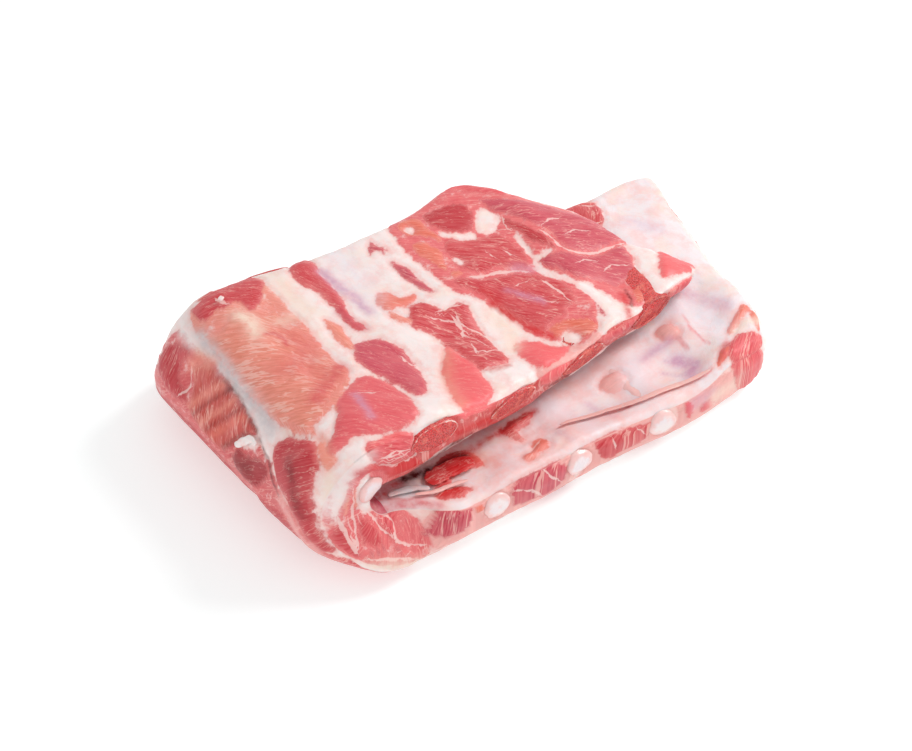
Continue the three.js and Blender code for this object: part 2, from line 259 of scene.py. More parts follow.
# Muscles on the meat side: colour, grain in degrees from +X, how flecked, and outline. The first
# number of a place is x, which runs on past the fold as the distance round it. The second is y.
MEAT_SIDE = [
    (DEEP, 40, 0.4, [(30, 59.5), (36, 60), (41.5, 58.5), (47, 56), (48, 52.5), (47, 48.5), (44.5, 45),
     (41.5, 42.5), (37, 43.5), (33, 46), (30.5, 50), (28.5, 53)]),
    (ORANGE, 60, 1.2, [(20, 61.5), (26, 61), (29, 57), (28, 52.5), (29.5, 48), (28.5, 44.5), (26, 43.5),
     (24.5, 46.5), (21.5, 50), (18, 52), (17.5, 57)]),
    (PINK, 20, 0.8, [(38, 65.5), (46, 64.5), (53, 60), (58, 54.5), (64, 50), (66, 55), (58, 66), (48, 68)]),
    (MAUVE, 25, 0.7, [(52.5, 55), (58, 52), (64.5, 48), (74, 42.5), (81.5, 35), (87, 29.5), (91, 22),
     (96, 14), (95, 11), (90, 12.5), (82, 11), (76, 10.5), (71, 11), (66.5, 13.5), (63.5, 16.5),
     (63.5, 21.5), (64.5, 26.5), (61, 32), (58, 39), (55, 43.5), (53, 49)]),
    (DEEP, 75, 0.5, [(54.5, 43), (57, 38.5), (60, 31.5), (62.5, 25.5), (62, 21.5), (61.5, 17.5), (59, 17.5),
     (57.5, 20), (55.5, 24), (54.5, 29.5), (53.5, 35), (52.5, 39.5)]),
    (MAUVE, 60, 0.7, [(50, 16.5), (54, 17.5), (58, 16), (62.5, 14.5), (65.5, 12), (70, 9.5), (75, 9.5),
     (82, 9.5), (86.5, 9), (85.5, 5), (83.5, 0), (81, -4), (77, -7), (72, -8), (68.5, -8.5), (66.5, -7),
     (63, -3.5), (59, -1), (55.5, 3), (53.5, 8), (51, 12)]),
    (RED, 50, 0.8, [(28, 44), (34, 43), (39, 40), (43.5, 38), (48, 37), (50.5, 33.5), (50, 28.5),
     (50.5, 24.5), (49.5, 19.5), (47, 15.5), (44.5, 15), (40.5, 18), (37, 21.5), (31, 21.5), (27.5, 23.5),
     (25.5, 27), (23.5, 31.5), (25, 37.5)]),
    (RED, 55, 0.8, [(17.5, 25), (22, 25), (26, 21.5), (32, 19), (38, 17), (43.5, 14), (47, 10.5), (50, 6.5),
     (51.5, 1.5), (51.5, -3.5), (51, -7), (47.5, -8.5), (44.5, -8.5), (43.5, -11), (39.5, -9.5), (35, -10),
     (31.5, -10.5), (29, -7), (27, -3.5), (25.5, 1.5), (24, 7), (22, 12.5), (19, 18), (16.5, 22)]),
    (ORANGE, 60, 0.9, [(17.5, 48.5), (22, 47.5), (24, 44), (25.5, 40.5), (23, 34), (20.5, 29.5), (18, 30.5),
     (17, 35), (16, 40), (15, 44.5)]),
    (ORANGE, 40, 0.8, [(20.5, 29.5), (24.5, 27.5), (24, 25), (19.5, 24.5), (18, 27)]),
    (RASPBERRY, 80, 0.4, [(55.5, -10.5), (56.5, -12), (55.5, -15.5), (53.5, -19), (52.5, -18), (54, -13.5)]),
    (ROSE, 40, 0.1, [(96.5, 2), (101, -3), (105.5, -9), (106, -12), (103, -14), (93, -14.5), (87, -13.5),
     (86.5, -10), (90.5, -5.5)]),
    (ORANGE, 50, 1.0, [(75.5, -8), (79.5, -8.5), (78, -13), (75, -17.5), (70.5, -19), (70, -14.5)]),
    (ORANGE, 40, 1.4, [(33, -10), (38, -10), (44, -12), (48.5, -15.5), (49, -20), (45.5, -22), (41, -21.5),
     (36.5, -18), (33.5, -15)]),
    (ROSE, 35, 0.1, [(18.5, -9.5), (22.5, -10), (26.5, -11.5), (29, -15), (32, -18.5), (36, -21), (31, -25),
     (25, -28), (18, -29), (15, -24), (15, -19), (15.5, -14.5)]),
    (RED, 50, 0.9, [(-3, 24), (0, 23.5), (3.5, 21), (5, 18.5), (7, 15.5), (12, 15.5), (14.5, 12.5),
     (14.5, 8.5), (13.5, 5.5), (13.5, 2), (13, -3.5), (12, -9), (11.5, -14.5), (10, -18.5), (6, -18),
     (1.5, -17), (-2, -16.5), (-2.5, -13.5), (-2.5, -9.5), (-2.5, -3.5), (-3.5, 2), (-4, 6.5), (-5.5, 10.5),
     (-8, 13.5), (-6.5, 18.5)]),
    (ORANGE, 40, 0.8, [(-8.5, 34.5), (-4.5, 33.5), (-2.5, 29.5), (0, 28), (3, 27), (1.5, 24.5), (-3, 24),
     (-7.5, 25), (-11.5, 26.5), (-12, 31)]),
    (SALMON, 60, 0.8, [(-11, 26), (-8, 22), (-6.5, 17.5), (-7, 14.5), (-10, 18.5), (-11.5, 22.5)]),
    (RASPBERRY, 85, 0.8, [(5, 45.5), (7, 44.5), (8, 41), (9, 37.5), (8.5, 32.5), (9, 28.5), (9.5, 24),
     (7, 25.5), (5.5, 28.5), (5, 32), (4, 37), (4, 41)]),
    (RASPBERRY, 60, 0.8, [(5.5, 58.5), (6, 56.5), (6.5, 54), (8, 52.5), (6.5, 49), (5, 49.5), (4, 52.5),
     (1, 51.5), (2, 54.5)]),
    (RED, 75, 0.5, [(-27.5, 63), (-21.5, 67), (-18, 66), (-18, 59), (-19.5, 54), (-19, 49), (-19.5, 44),
     (-20.5, 38), (-22.5, 32), (-23, 27), (-22, 22), (-24.5, 22), (-27, 25.5), (-27, 31), (-26.5, 37.5),
     (-26.5, 43), (-27, 48.5), (-29, 52), (-29, 57)]),
    (SALMON, 80, 0.6, [(-32.5, 34), (-30, 29.5), (-30, 23), (-31, 16), (-34, 16.5), (-34.5, 22),
     (-34, 28.5)]),
    (MAUVE, 60, 0.4, [(-30.5, 18.5), (-25.5, 17.5), (-21.5, 15.5), (-19.5, 12), (-18.5, 7.5), (-18, 3),
     (-18.5, -2.5), (-20, -8), (-22.5, -13.5), (-27, -17.5), (-30, -17), (-31, -13), (-31.5, -8.5),
     (-33, -5), (-34, -1), (-36, 3.5), (-36, 8.5), (-34, 15)]),
    (PINK, 50, 0.3, [(-54, -3), (-46, 0.5), (-41, 2), (-37.5, 1), (-34.5, -3), (-33, -8.5), (-32.5, -15),
     (-34, -21.5), (-36, -26), (-41, -28), (-47, -27.5), (-52.5, -25.5), (-56.5, -23.5), (-60.5, -22),
     (-65, -22), (-70, -22), (-70.5, -18.5), (-65, -13.5), (-58.5, -8.5)]),
    (ROSE, 45, 0.15, [(-3, 0.5), (-2.5, -3.5), (-2, -8.5), (-2, -15), (-3, -19.5), (-3.5, -24.5),
     (-5.5, -29), (-9, -31.5), (-14, -33), (-20, -33), (-20.5, -27.5), (-18, -20.5), (-15, -13),
     (-12.5, -7.5), (-8, -3)]),
    (ROSE, 20, 1.4, [(-59.5, -27.5), (-56, -26.5), (-51.5, -26.5), (-47, -27), (-43, -29), (-41, -33),
     (-50, -36), (-60, -36)]),
    (RED, 35, 0.7, [(-69.5, 69), (-62.5, 72), (-56, 73), (-50, 72), (-44, 70), (-39.5, 66), (-39.5, 59.5),
     (-42.5, 55), (-46.5, 51.5), (-51.5, 49.5), (-53.5, 52), (-54, 57), (-58.5, 55.5), (-62.5, 57.5),
     (-67, 56.5), (-70.5, 60), (-71, 64)]),
    (SALMON, 52, 2.2, [(-72.5, 61), (-70.5, 56.5), (-67, 50.5), (-58.5, 54), (-53, 52), (-49, 47),
     (-44, 48), (-44.5, 41.5), (-42, 33.5), (-43.5, 26.5), (-45.5, 20.5), (-43, 16.5), (-42, 10),
     (-41.5, 5.5), (-48, 1.5), (-56, -2.5), (-63.5, -7.5), (-69.5, -9.5), (-72.5, -4.5), (-75, 1.5),
     (-76, 9), (-76, 17.5), (-76, 26), (-75.5, 34), (-74.5, 41), (-74, 49), (-74.5, 56)]),
    (DEEP, -20, 0.5, [(-82.5, 64.5), (-79.5, 59), (-79, 55), (-82, 53.5), (-86.5, 55.5), (-90.5, 53.5),
     (-92.5, 48), (-95, 44.5), (-98, 47.5), (-99, 53), (-99, 60), (-98, 68), (-93.5, 71), (-87.5, 69)]),
    (BROWN, -38, 1.2, [(-83, 50.5), (-78, 46), (-77, 41.5), (-77, 36.5), (-78, 31.5), (-79.5, 25.5),
     (-80.5, 18.5), (-81.5, 13), (-84, 10.5), (-89, 14.5), (-94, 18), (-100, 20.5), (-102, 27.5), (-102, 35),
     (-100, 41.5), (-95, 45.5), (-89, 47.5), (-86, 50.5)]),
    (DARK, 70, 0.4, [(-97.5, 18), (-94, 15.5), (-93, 10), (-89.5, 4.5), (-89, -0.5), (-93, -2.5),
     (-100, -0.5), (-104, 4), (-105, 10), (-102, 16)]),
    (DEEP, 60, 0.4, [(-83, 0.5), (-78, -1), (-74.5, -5.5), (-71, -11.5), (-72, -16.5), (-76, -20.5),
     (-80.5, -22.5), (-87, -24.5), (-92, -26.5), (-100.5, -29), (-110, -34), (-112, -29), (-104, -23.5),
     (-97, -17), (-93.5, -10), (-89.5, -4)]),
    (PINK, 10, 0.6, [(-92, -32), (-101, -34), (-112, -38), (-124, -41), (-136, -44), (-138, -50),
     (-124, -47), (-108, -42), (-96, -37)]),
    (DEEP, 80, 0.8, [(-106, 62), (-104, 44), (-105, 24), (-108, 8), (-118, 0), (-128, 4), (-134, 20),
     (-135, 44), (-132, 68), (-120, 76), (-110, 72)]),
    (DEEP, 60, 0.6, [(-108, 3), (-104, -6), (-102, -14), (-110, -20), (-124, -23), (-132, -20), (-130, -4),
     (-120, -2)]),
    (RED, 80, 0.8, [(-142, 66), (-138, 30), (-140, 0), (-146, -36), (-166, -42), (-180, -10), (-176, 30),
     (-168, 64), (-154, 72)]),
    (MAUVE, 100, 0.8, [(-184, 58), (-190, 20), (-186, -20), (-194, -46), (-214, -48), (-222, -10),
     (-214, 30), (-208, 56)]),
    (RED, 80, 0.8, [(-228, 50), (-232, 10), (-228, -30), (-240, -50), (-256, -46), (-262, 0), (-256, 44),
     (-242, 54)]),
    (PINK, 95, 0.8, [(-268, 46), (-274, 10), (-270, -30), (-282, -50), (-300, -44), (-306, 0), (-300, 40),
     (-284, 50)]),
    (RED, 85, 0.8, [(-312, 38), (-316, 4), (-310, -28), (-318, -38), (-326, -10), (-331, 24), (-322, 44)]),
]
# Paler tissue that shows between those muscles: colour, grain, how flecked, and outline.
MEAT_BACKING = [
    (PINK, 45, 0.8, [(16, 62), (22, 66), (35, 68), (50, 68), (58, 67), (66, 56), (72, 47), (82, 38),
     (91, 27), (96, 13), (88, 10), (86, 2), (82, -6), (80, -12), (74, -20), (69, -20), (64, -14), (58, -9),
     (52, -16), (46, -22), (38, -23), (33, -16), (28, -10), (25, 0), (20, 12), (15, 20), (14, 34), (13, 46)]),
    (RED, 60, 0.8, [(-79, 68), (-77, 54), (-76.5, 42), (-78, 32), (-80, 22), (-82, 13), (-87, 6), (-88, -2),
     (-92, -5), (-94, -12), (-100, -21), (-112, -31), (-118, -40), (-142, -47), (-150, -10), (-148, 70),
     (-120, 78), (-98, 74)]),
    (SALMON, 50, 1.2, [(-72, 66), (-60, 73), (-44, 71), (-40, 60), (-40, 46), (-40, 30), (-42, 14),
     (-42, 5), (-55, -6), (-68, -12), (-74, -4), (-76, 10), (-75, 30)]),
    (BLUSH, 60, 0.6, [(16, -26), (26, -25), (38, -20), (46, -22), (46, -30), (30, -33), (16, -33)]),
    (SALMON, 60, 0.6, [(-68, -12), (-70, -18), (-70, -24), (-76, -24), (-75, -20), (-72, -16)]),
]
# White fat and gristle that lies over them on the meat side.
MEAT_HOLES = [
    [(48.5, 49), (52, 50), (53.5, 46.5), (53, 43), (50.5, 39.5), (47, 38), (44, 39.5), (42.5, 42),
     (45, 45.5)],
    [(31, 48.5), (34, 45.5), (37, 43.5), (41, 42), (40, 39.5), (35, 41), (31.5, 43.5), (29.5, 46.5)],
    [(53, 33), (53.5, 29.5), (52.5, 24.5), (52, 19.5), (55.5, 19.5), (58, 18), (55, 17), (51, 16.5),
     (50.5, 12.5), (52.5, 7.5), (55, 2), (58.5, -2), (61, -6.5), (62.5, -12), (61.5, -18), (59.5, -22),
     (55, -21), (55, -15.5), (55.5, -10), (54.5, -5), (52.5, 1.5), (50, 6.5), (48, 10), (47.5, 14),
     (50, 18.5), (51, 24.5), (51.5, 30)],
    [(88, 10), (91.5, 10), (94, 4.5), (96, 1.5), (92.5, -3.5), (87.5, -8), (83.5, -10), (81.5, -6.5),
     (82, -2.5), (84.5, 1.5), (86, 6)],
    [(35.5, -16), (39, -16), (40.5, -19.5), (38.5, -21), (35, -19)],
    [(26, 35), (28, 33), (27.5, 30), (25.5, 31)],
    [(20, 56), (22, 57), (23, 54), (21, 53)],
    [(-67, -6), (-63.5, -7), (-57, -5), (-60, -10.5), (-67, -16), (-69.5, -15), (-68.5, -10)],
    [(-94, 18.5), (-89, 14.5), (-85, 11), (-84.5, 8), (-87.5, 7.5), (-92.5, 11.5), (-94, 15)],
]
# Thin fat seams on the meat side: half width and line.
MEAT_SEAMS = [
    (0.6, [(25, 22.5), (27, 21.5), (31, 20.5), (36, 19.5), (40.5, 17), (44, 14.5)]),
    (0.5, [(62.5, 27), (63, 22), (62.5, 18), (64, 15), (67, 12.5), (71, 10.5), (76, 10.2), (82, 10.3),
     (87, 11)]),
    (0.3, [(65, 30), (69, 32), (73, 31)]),
    (0.3, [(69, 22), (74, 23), (78, 21)]),
    (0.3, [(62, 7), (66, 8), (70, 6)]),
    (0.3, [(70, 1), (75, 2), (79, 0)]),
    (0.35, [(50.5, 38), (52.5, 36), (54, 41)]),
    (0.3, [(38, 30), (39, 26)]),
    (0.3, [(44.5, 27), (45.5, 23)]),
    (0.4, [(45.5, 6), (46.5, 1), (47.5, -5)]),
    (0.3, [(40, -1), (43, -4)]),
    (0.3, [(36, 10), (40, 10)]),
    (0.35, [(5, 15.5), (8, 15.5), (12, 14.5)]),
    (0.35, [(1, 14), (4, 11.5), (6.5, 9), (7, 5), (5, 2.5)]),
    (0.4, [(8.5, 10.5), (7.7, 7.5), (9.5, 4), (13, -1)]),
    (0.3, [(5.5, 4), (8, -0.5), (9, -5.5)]),
    (0.3, [(4.5, -3.5), (2.5, -8.5), (6, -9)]),
    (0.3, [(5.5, -10), (11, -10)]),
    (0.5, [(-21, 3), (-18, -3)]),
    (1.0, [(-58.2, 61.5), (-57.5, 59.8)]),
    (0.3, [(-96, 50), (-90, 48), (-85, 51.5)]),
    (0.4, [(-46, -6), (-42, -8)]),
]
# Films over the meat side, and strokes of painted shade in its cracks, slits and gaps and under its ledges:
# colour, strength, half width and line.
MEAT_FILMS_AND_SHADE = [
    (BLUISH, 0.5, 6, [(-8, 60), (-9, 48), (-12, 34)]),
    (CREAM, 0.6, 4, [(-35, 64), (-36, 52), (-35, 40)]),
    (CREAM, 0.7, 3.5, [(20, 4), (22, -4), (16, -12)]),
    (LILAC, 0.75, 2.4, [(-18.5, 54), (-17.5, 44), (-16.5, 36), (-16.5, 29)]),
    (LILAC, 0.55, 1.4, [(31, 10), (34.5, 5), (39, -1)]),
    (LILAC, 0.4, 2.4, [(42, 18), (46, 15)]),
    (LILAC, 0.6, 1.8, [(-48, -6), (-49.5, -12), (-50.5, -18)]),
    (RASPBERRY, 0.5, 2.4, [(-25.5, 34), (-25, 28), (-23.5, 23.5)]),
    (SALMON, 0.6, 3.0, [(-7, -3), (-12, -10), (-17, -20), (-19.5, -28)]),
    # The next two blood-red strokes run along the lower edge of a raised muscle: painted shade under its
    # ledge.
    (BLOOD, 0.85, 1.3, [(23.5, 8), (25, 3), (26, -1), (27.5, -5), (31, -10.5), (33, -14)]),
    (BLOOD, 0.5, 2.2, [(24, 14), (25, 8)]),
    (BLOOD, 0.6, 0.8, [(-1, -17.3), (4, -18.2), (9, -19)]),
    (BROWN, 0.5, 0.8, [(1, -19.5), (9, -20)]),
    (SHADOW_RED, 0.9, 0.6, [(70.5, -10.5), (69.5, -14), (67.5, -18)]),
    (BLOOD, 0.7, 1.6, [(67.5, -12), (66, -16), (63.5, -20), (62, -25)]),
    (BLOOD, 0.3, 4, [(73, -10), (75, -15)]),
    (CREAM, 0.85, 3.6, [(-57.5, 50), (-55.5, 45), (-57.5, 40)]),
    (CREAM, 0.5, 3.0, [(-46, 41), (-43, 40)]),
    (RED, 0.75, 0.9, [(-55.3, 37), (-52.5, 36.5), (-51, 33), (-51.5, 29.5)]),
    (RED, 0.4, 5, [(-48, 34), (-46, 26), (-50, 22)]),
    (RED, 0.7, 3.4, [(-60, 1), (-54, 4), (-48, 7), (-44, 9)]),
    (RED, 0.35, 6, [(-58, 20), (-52, 14)]),
    (SILVER, 0.85, 3.2, [(-74, 56), (-74, 48), (-74.5, 40), (-76, 30), (-76.5, 20), (-77.5, 12), (-79, 6)]),
    (WHITE, 0.9, 3.0, [(-75, 72), (-77.5, 64), (-77, 56)]),
    (CREAM, 0.6, 1.5, [(-78, 52), (-77.5, 46)]),
    (SHADOW_RED, 0.6, 1.0, [(-78.5, 34), (-79, 26), (-81, 17), (-83, 11)]),
    (SHADOW_RED, 0.75, 0.7, [(-84.5, 8), (-86.5, 4), (-88.5, -1), (-93, -4), (-96, -10)]),
    (SHADOW_RED, 0.5, 2.5, [(-82, -10), (-85, -15.5), (-90, -19), (-96, -22.5)]),
    (SHADOW_RED, 0.4, 3, [(-98, 8), (-100, 14)]),
    (SALMON, 0.75, 3.0, [(-84, 51), (-80, 49), (-77.5, 44)]),
    (SALMON, 0.6, 1.6, [(-96, 44), (-88, 39), (-80, 34)]),
    (SALMON, 0.6, 1.4, [(-98, 36), (-90, 31), (-81, 26)]),
    (ORANGE, 0.6, 1.6, [(-98, 28), (-90, 23.5), (-83, 19)]),
    (SHADOW_RED, 0.45, 0.9, [(-98, 41), (-88, 35.5), (-79, 30)]),
    (SHADOW_RED, 0.4, 0.9, [(-98, 32), (-90, 27), (-82, 22)]),
    (SHADOW_RED, 0.45, 1.0, [(-99, 22), (-92, 18.5), (-86, 14.5)]),
    (CREAM, 0.7, 2.5, [(-77, -26), (-86, -29), (-96, -33), (-108, -38)]),
    (SALMON, 0.7, 2.5, [(-74, -22), (-70, -18), (-68.5, -13)]),
    (BLUSH, 0.6, 3.5, [(-96, -12), (-104, -20), (-114, -28)]),
]

# The sawn front face, by x and height.
SAWN_FACE = [
    (PINK, 20, 1.6, [(-60, 53), (-59, 49), (-57, 45), (-50.5, 41.5), (-46, 40.5), (-42.5, 41.5), (-42, 47),
     (-42, 53), (-50, 56)]),
    (BLOOD, 30, 0.4, [(-66, 46.5), (-64.5, 47.5), (-61.5, 48), (-58.5, 47), (-55.5, 46), (-50.5, 43),
     (-46, 42), (-43, 42.5), (-41, 39.5), (-40, 34.5), (-44, 34), (-50, 34.5), (-54, 35.5), (-56.5, 41.5),
     (-60.5, 43.5), (-64.5, 45)]),
    (ROSE, 10, 0.3, [(-25, 48.5), (-18, 48), (-12, 47), (-4, 44.5), (-4, 41.5), (-12, 41.5), (-18, 43),
     (-22, 43.5)]),
    (BLOOD, -30, 0.6, [(-27.5, 43.5), (-23.5, 42.5), (-18.5, 41), (-13.5, 39.5), (-7, 37), (-4, 33),
     (-8, 30), (-15, 32.5), (-21, 35), (-26, 38)]),
    (ROSE, -30, 0.6, [(14, 40), (20, 41), (27, 40), (31, 37.5), (29, 30.5), (24, 28.5), (17, 31), (14, 36)]),
    (PINK, -20, 1.4, [(45, 36.5), (52, 36), (58, 35), (64, 34), (69, 31), (66, 26.5), (60, 26), (53, 26.5),
     (46, 30)]),
    (BLOOD, -40, 0.8, [(59, 34), (64, 33), (67, 28), (61, 27)]),
    (PINK, 0, 0.8, [(84, 31), (92, 30), (100, 27.5), (98, 23), (90, 23), (84, 26)]),
    (MAUVE, 30, 2.6, [(-46.5, 18), (-43, 21.5), (-40, 22), (-35, 21.5), (-31, 20.5), (-29.5, 19),
     (-30.5, 17), (-32, 12), (-35.5, 10), (-40, 10), (-45, 12), (-50, 14.5)]),
    (ORANGE, 60, 0.6, [(-29.5, 19.5), (-25.5, 19.5), (-25, 16), (-27, 15), (-30.5, 15.5)]),
    (MAUVE, 25, 2.6, [(-15, 19), (-12, 21), (-4, 21.5), (4, 20.5), (9, 18), (11, 13), (9, 8.5), (2, 5.5),
     (-6, 6.5), (-13, 8.5), (-15, 11), (-15, 15)]),
    (RED, 10, 1.8, [(22, 18.5), (27, 19), (36, 18), (44, 17), (48.5, 15.5), (48.5, 12), (45, 7.5),
     (37, 5.5), (28, 6), (24, 9), (22, 14.5)]),
    (PINK, 80, 0.4, [(60, 16), (64, 17), (66, 12), (64, 7), (61, 9)]),
    (PINK, 20, 0.4, [(67, 11), (72, 13), (76, 9), (74, 5.5), (68, 6.5)]),
    (PINK, 75, 2.2, [(85, 21), (95, 20), (103, 18), (106, 6), (96, 2), (88, 4), (85, 12)]),
    (RED, 80, 0.6, [(-67.5, 28), (-64, 25.5), (-62, 22.5), (-61.5, 19.5), (-63, 16.5), (-66, 17), (-69, 19),
     (-70.5, 21), (-70, 24.5)]),
    (PINK, 30, 1.6, [(-60, 25.5), (-54.5, 26), (-51.5, 21), (-54, 18.5), (-56.5, 16), (-55, 14), (-59, 15),
     (-60.5, 18), (-61, 21), (-61, 24)]),
    (MAUVE, 5, 1.2, [(-70, 18.5), (-65.5, 17.5), (-61, 17), (-57.5, 14.5), (-57.5, 12.5), (-61.5, 14),
     (-65, 15), (-68.5, 15.5), (-71, 17)]),
    (RED, 80, 0.5, [(-76.5, 28), (-73, 28), (-71.5, 24), (-72.5, 21), (-72, 18), (-74.5, 15.5), (-78, 18),
     (-80, 23.5)]),
    (SALMON, 85, 0.5, [(-73, 38), (-70.5, 41), (-70, 35), (-71.5, 29), (-73.5, 33)]),
    (SALMON, 85, 0.5, [(-68, 41), (-65.8, 40), (-65.2, 35), (-64.5, 30), (-67.5, 29), (-69, 35)]),
    (ROSE, -25, 0.3, [(-58.5, 14.5), (-55, 13.5), (-52, 10), (-50, 7), (-53, 8), (-56.5, 11), (-58.5, 13)]),
]
# Paler or redder tissue between them on the front face.
SAWN_BACKING = [
    (PINK, 75, 0.9, [(-80, 24), (-79, 34), (-75, 42), (-68, 44.5), (-64, 46.5), (-56, 46), (-50, 36),
     (-54, 30), (-50, 22), (-46, 14), (-50, 6), (-60, 9), (-70, 12.5), (-77, 16)]),
    (BLOOD, -30, 1.3, [(-28, 49), (-16, 45.5), (0, 43.5), (14, 41.5), (30, 39.5), (46, 37), (60, 35.5),
     (74, 33), (72, 25), (60, 23), (44, 25), (26, 23), (10, 24), (-6, 26), (-18, 31), (-30, 36), (-44, 30),
     (-54, 29), (-50, 38)]),
    (BLUSH, 0, 1.2, [(-46, 7), (-10, 4), (30, 3.5), (80, 3), (104, 4), (104, 18), (84, 19.5), (60, 17.5),
     (40, 18.5), (14, 20.5), (-10, 20.5), (-40, 22), (-50, 16)]),
]
SAWN_HOLES = [
    [(-66, 41), (-67, 34), (-65, 28), (-60, 26.5), (-56, 28), (-58, 33), (-60, 40), (-63, 44)],
    [(8, 21), (12, 20), (13, 12), (11, 6), (14, 4), (17, 8), (18, 16), (14, 21)],
    [(52, 18), (57, 17), (58, 11), (54, 5), (50, 7), (50, 14)],
    [(-75.5, 42), (-76, 40), (-76.5, 36), (-77.5, 29), (-75, 32), (-72, 39), (-70, 43), (-71.5, 46)],
]
SAWN_SEAMS = [
    (0.35, [(-55, 48), (-50, 48), (-46, 46)]),
    (0.3, [(-53, 45.5), (-47, 44)]),
    (0.5, [(-68.5, 41), (-68.5, 33), (-70, 25.5), (-72, 20)]),
    (0.5, [(-76.5, 33), (-74, 26), (-73.5, 18)]),
    (0.5, [(-66, 28), (-62.5, 27), (-60.5, 20), (-57, 15), (-51, 12)]),
    (0.4, [(-70, 15), (-63, 13), (-56, 10)]),
    (0.35, [(-56, 45), (-51, 41.5), (-46, 40.5), (-42, 41)]),
    (0.4, [(-12, 17), (-6, 13), (-2, 8)]),
    (0.35, [(0, 19), (3, 14), (6, 10)]),
    (0.3, [(30, 16), (31, 12)]),
    (0.3, [(41, 15), (43, 12)]),
    (0.6, [(-75.5, 29), (-74, 24), (-73.5, 20)]),
    (0.4, [(-58, 24), (-56, 21), (-58, 18)]),
]
# Films over the front face, and strokes of painted shade beside a rib end and along the slit below it:
# colour, strength, half width and line.
SAWN_FILMS_AND_SHADE = [
    (WHITE, 0.8, 3.5, [(-78, 34), (-74, 42), (-68, 48), (-60, 52)]),
    (CREAM, 0.7, 3.0, [(-70, 12), (-62, 10), (-52, 5)]),
    (LILAC, 0.5, 3.0, [(66, 14), (74, 14)]),
    (CREAM, 0.6, 4.0, [(76, 11), (84, 10)]),
    (SHADOW_RED, 0.6, 1.2, [(-28, 48), (-31, 49), (-35, 48.5)]),
    (SHADOW_RED, 0.9, 2.0, [(-44, 30), (-36, 32), (-26, 34), (-18, 32)]),
    (RED, 0.8, 1.6, [(-66, 46), (-60, 45.5), (-54, 42)]),
    (BLOOD, 0.7, 2.0, [(-8, 28), (2, 26), (10, 27)]),
    (SHADOW_RED, 0.8, 1.3, [(22, 27), (30, 26), (37, 26)]),
    (BLUSH, 0.5, 2.0, [(55, 15), (58, 9)]),
    (BLUSH, 0.6, 2.5, [(-45, 5), (-10, 3), (30, 3), (80, 3)]),
]

# The bone side of the lower leaf, by x and y.
BONE_SIDE = [
    (BLUSH, 0, 0.4, [(42.5, -29), (46.5, -26.5), (50.5, -27), (53, -29.5), (52.5, -33.5), (50, -35.5),
     (46, -35.5), (43.5, -33.5)]),
    (BLUSH, 0, 0.4, [(75.5, -21), (79, -20), (82, -21), (83.5, -25.5), (82, -28.5), (78, -28.5), (75, -26)]),
    (ORANGE, 30, 1.2, [(-2, -39.5), (2.5, -40), (5, -36), (9.5, -36.5), (9.5, -42), (5, -43), (0, -44.5),
     (-3.5, -43)]),
    (BLOOD, 10, 0.7, [(-38, -29.5), (-32, -27), (-25, -24), (-17.5, -25), (-14, -30), (-15, -35.5),
     (-18.5, -35), (-22, -34.5), (-26.5, -34.5), (-30, -36), (-27.5, -38.5), (-25.5, -42), (-29, -43.5),
     (-33.5, -42.5), (-38, -40.5), (-38.5, -37)]),
    (BLOOD, 10, 1.2, [(-1, -26), (4, -24), (10, -23.5), (15.5, -25.5), (11, -28), (5.5, -29), (5, -34.5),
     (2.5, -34), (1, -30.5)]),
    (RASPBERRY, 0, 1.0, [(-30, -49.5), (-5, -49.5), (10, -50.5), (10, -54), (-30, -54)]),
    (RED, 0, 1.0, [(18, -51), (27, -50.5), (36, -51.5), (36, -55), (18, -55)]),
    (ORANGE, 60, 0.6, [(81, -49), (84, -46), (90, -45.5), (96, -47), (97, -52), (90, -50), (84, -51.5),
     (79.5, -52)]),
    (ORANGE, 30, 0.6, [(95, -38.5), (100.5, -35.5), (106, -33), (111, -32), (112, -36), (105, -37.5),
     (101, -39), (95, -41.5)]),
    (PINK, 50, 1.6, [(85, -51), (88, -46), (92, -44), (97, -43.5), (103, -46), (107, -50), (104, -57),
     (96, -60), (88, -59)]),
    (ORANGE, 50, 1.6, [(108, -38), (113, -35), (118, -30), (122, -34), (116, -46), (110, -50), (106, -46)]),
    (RED, 60, 1.0, [(84, 36), (92, 32), (98, 34), (103, 39), (106, 44), (105, 50), (100, 56), (88, 58),
     (82, 48)]),
]
BONE_SEAMS = [
    (0.4, [(-4, -38), (2, -39), (7, -38)]),
    (0.35, [(90, 38), (97, 36)]),
    (0.5, [(100, 48), (108, 44)]),
    (0.6, [(-38, -37.5), (-30, -37.5), (-27, -39)]),
]
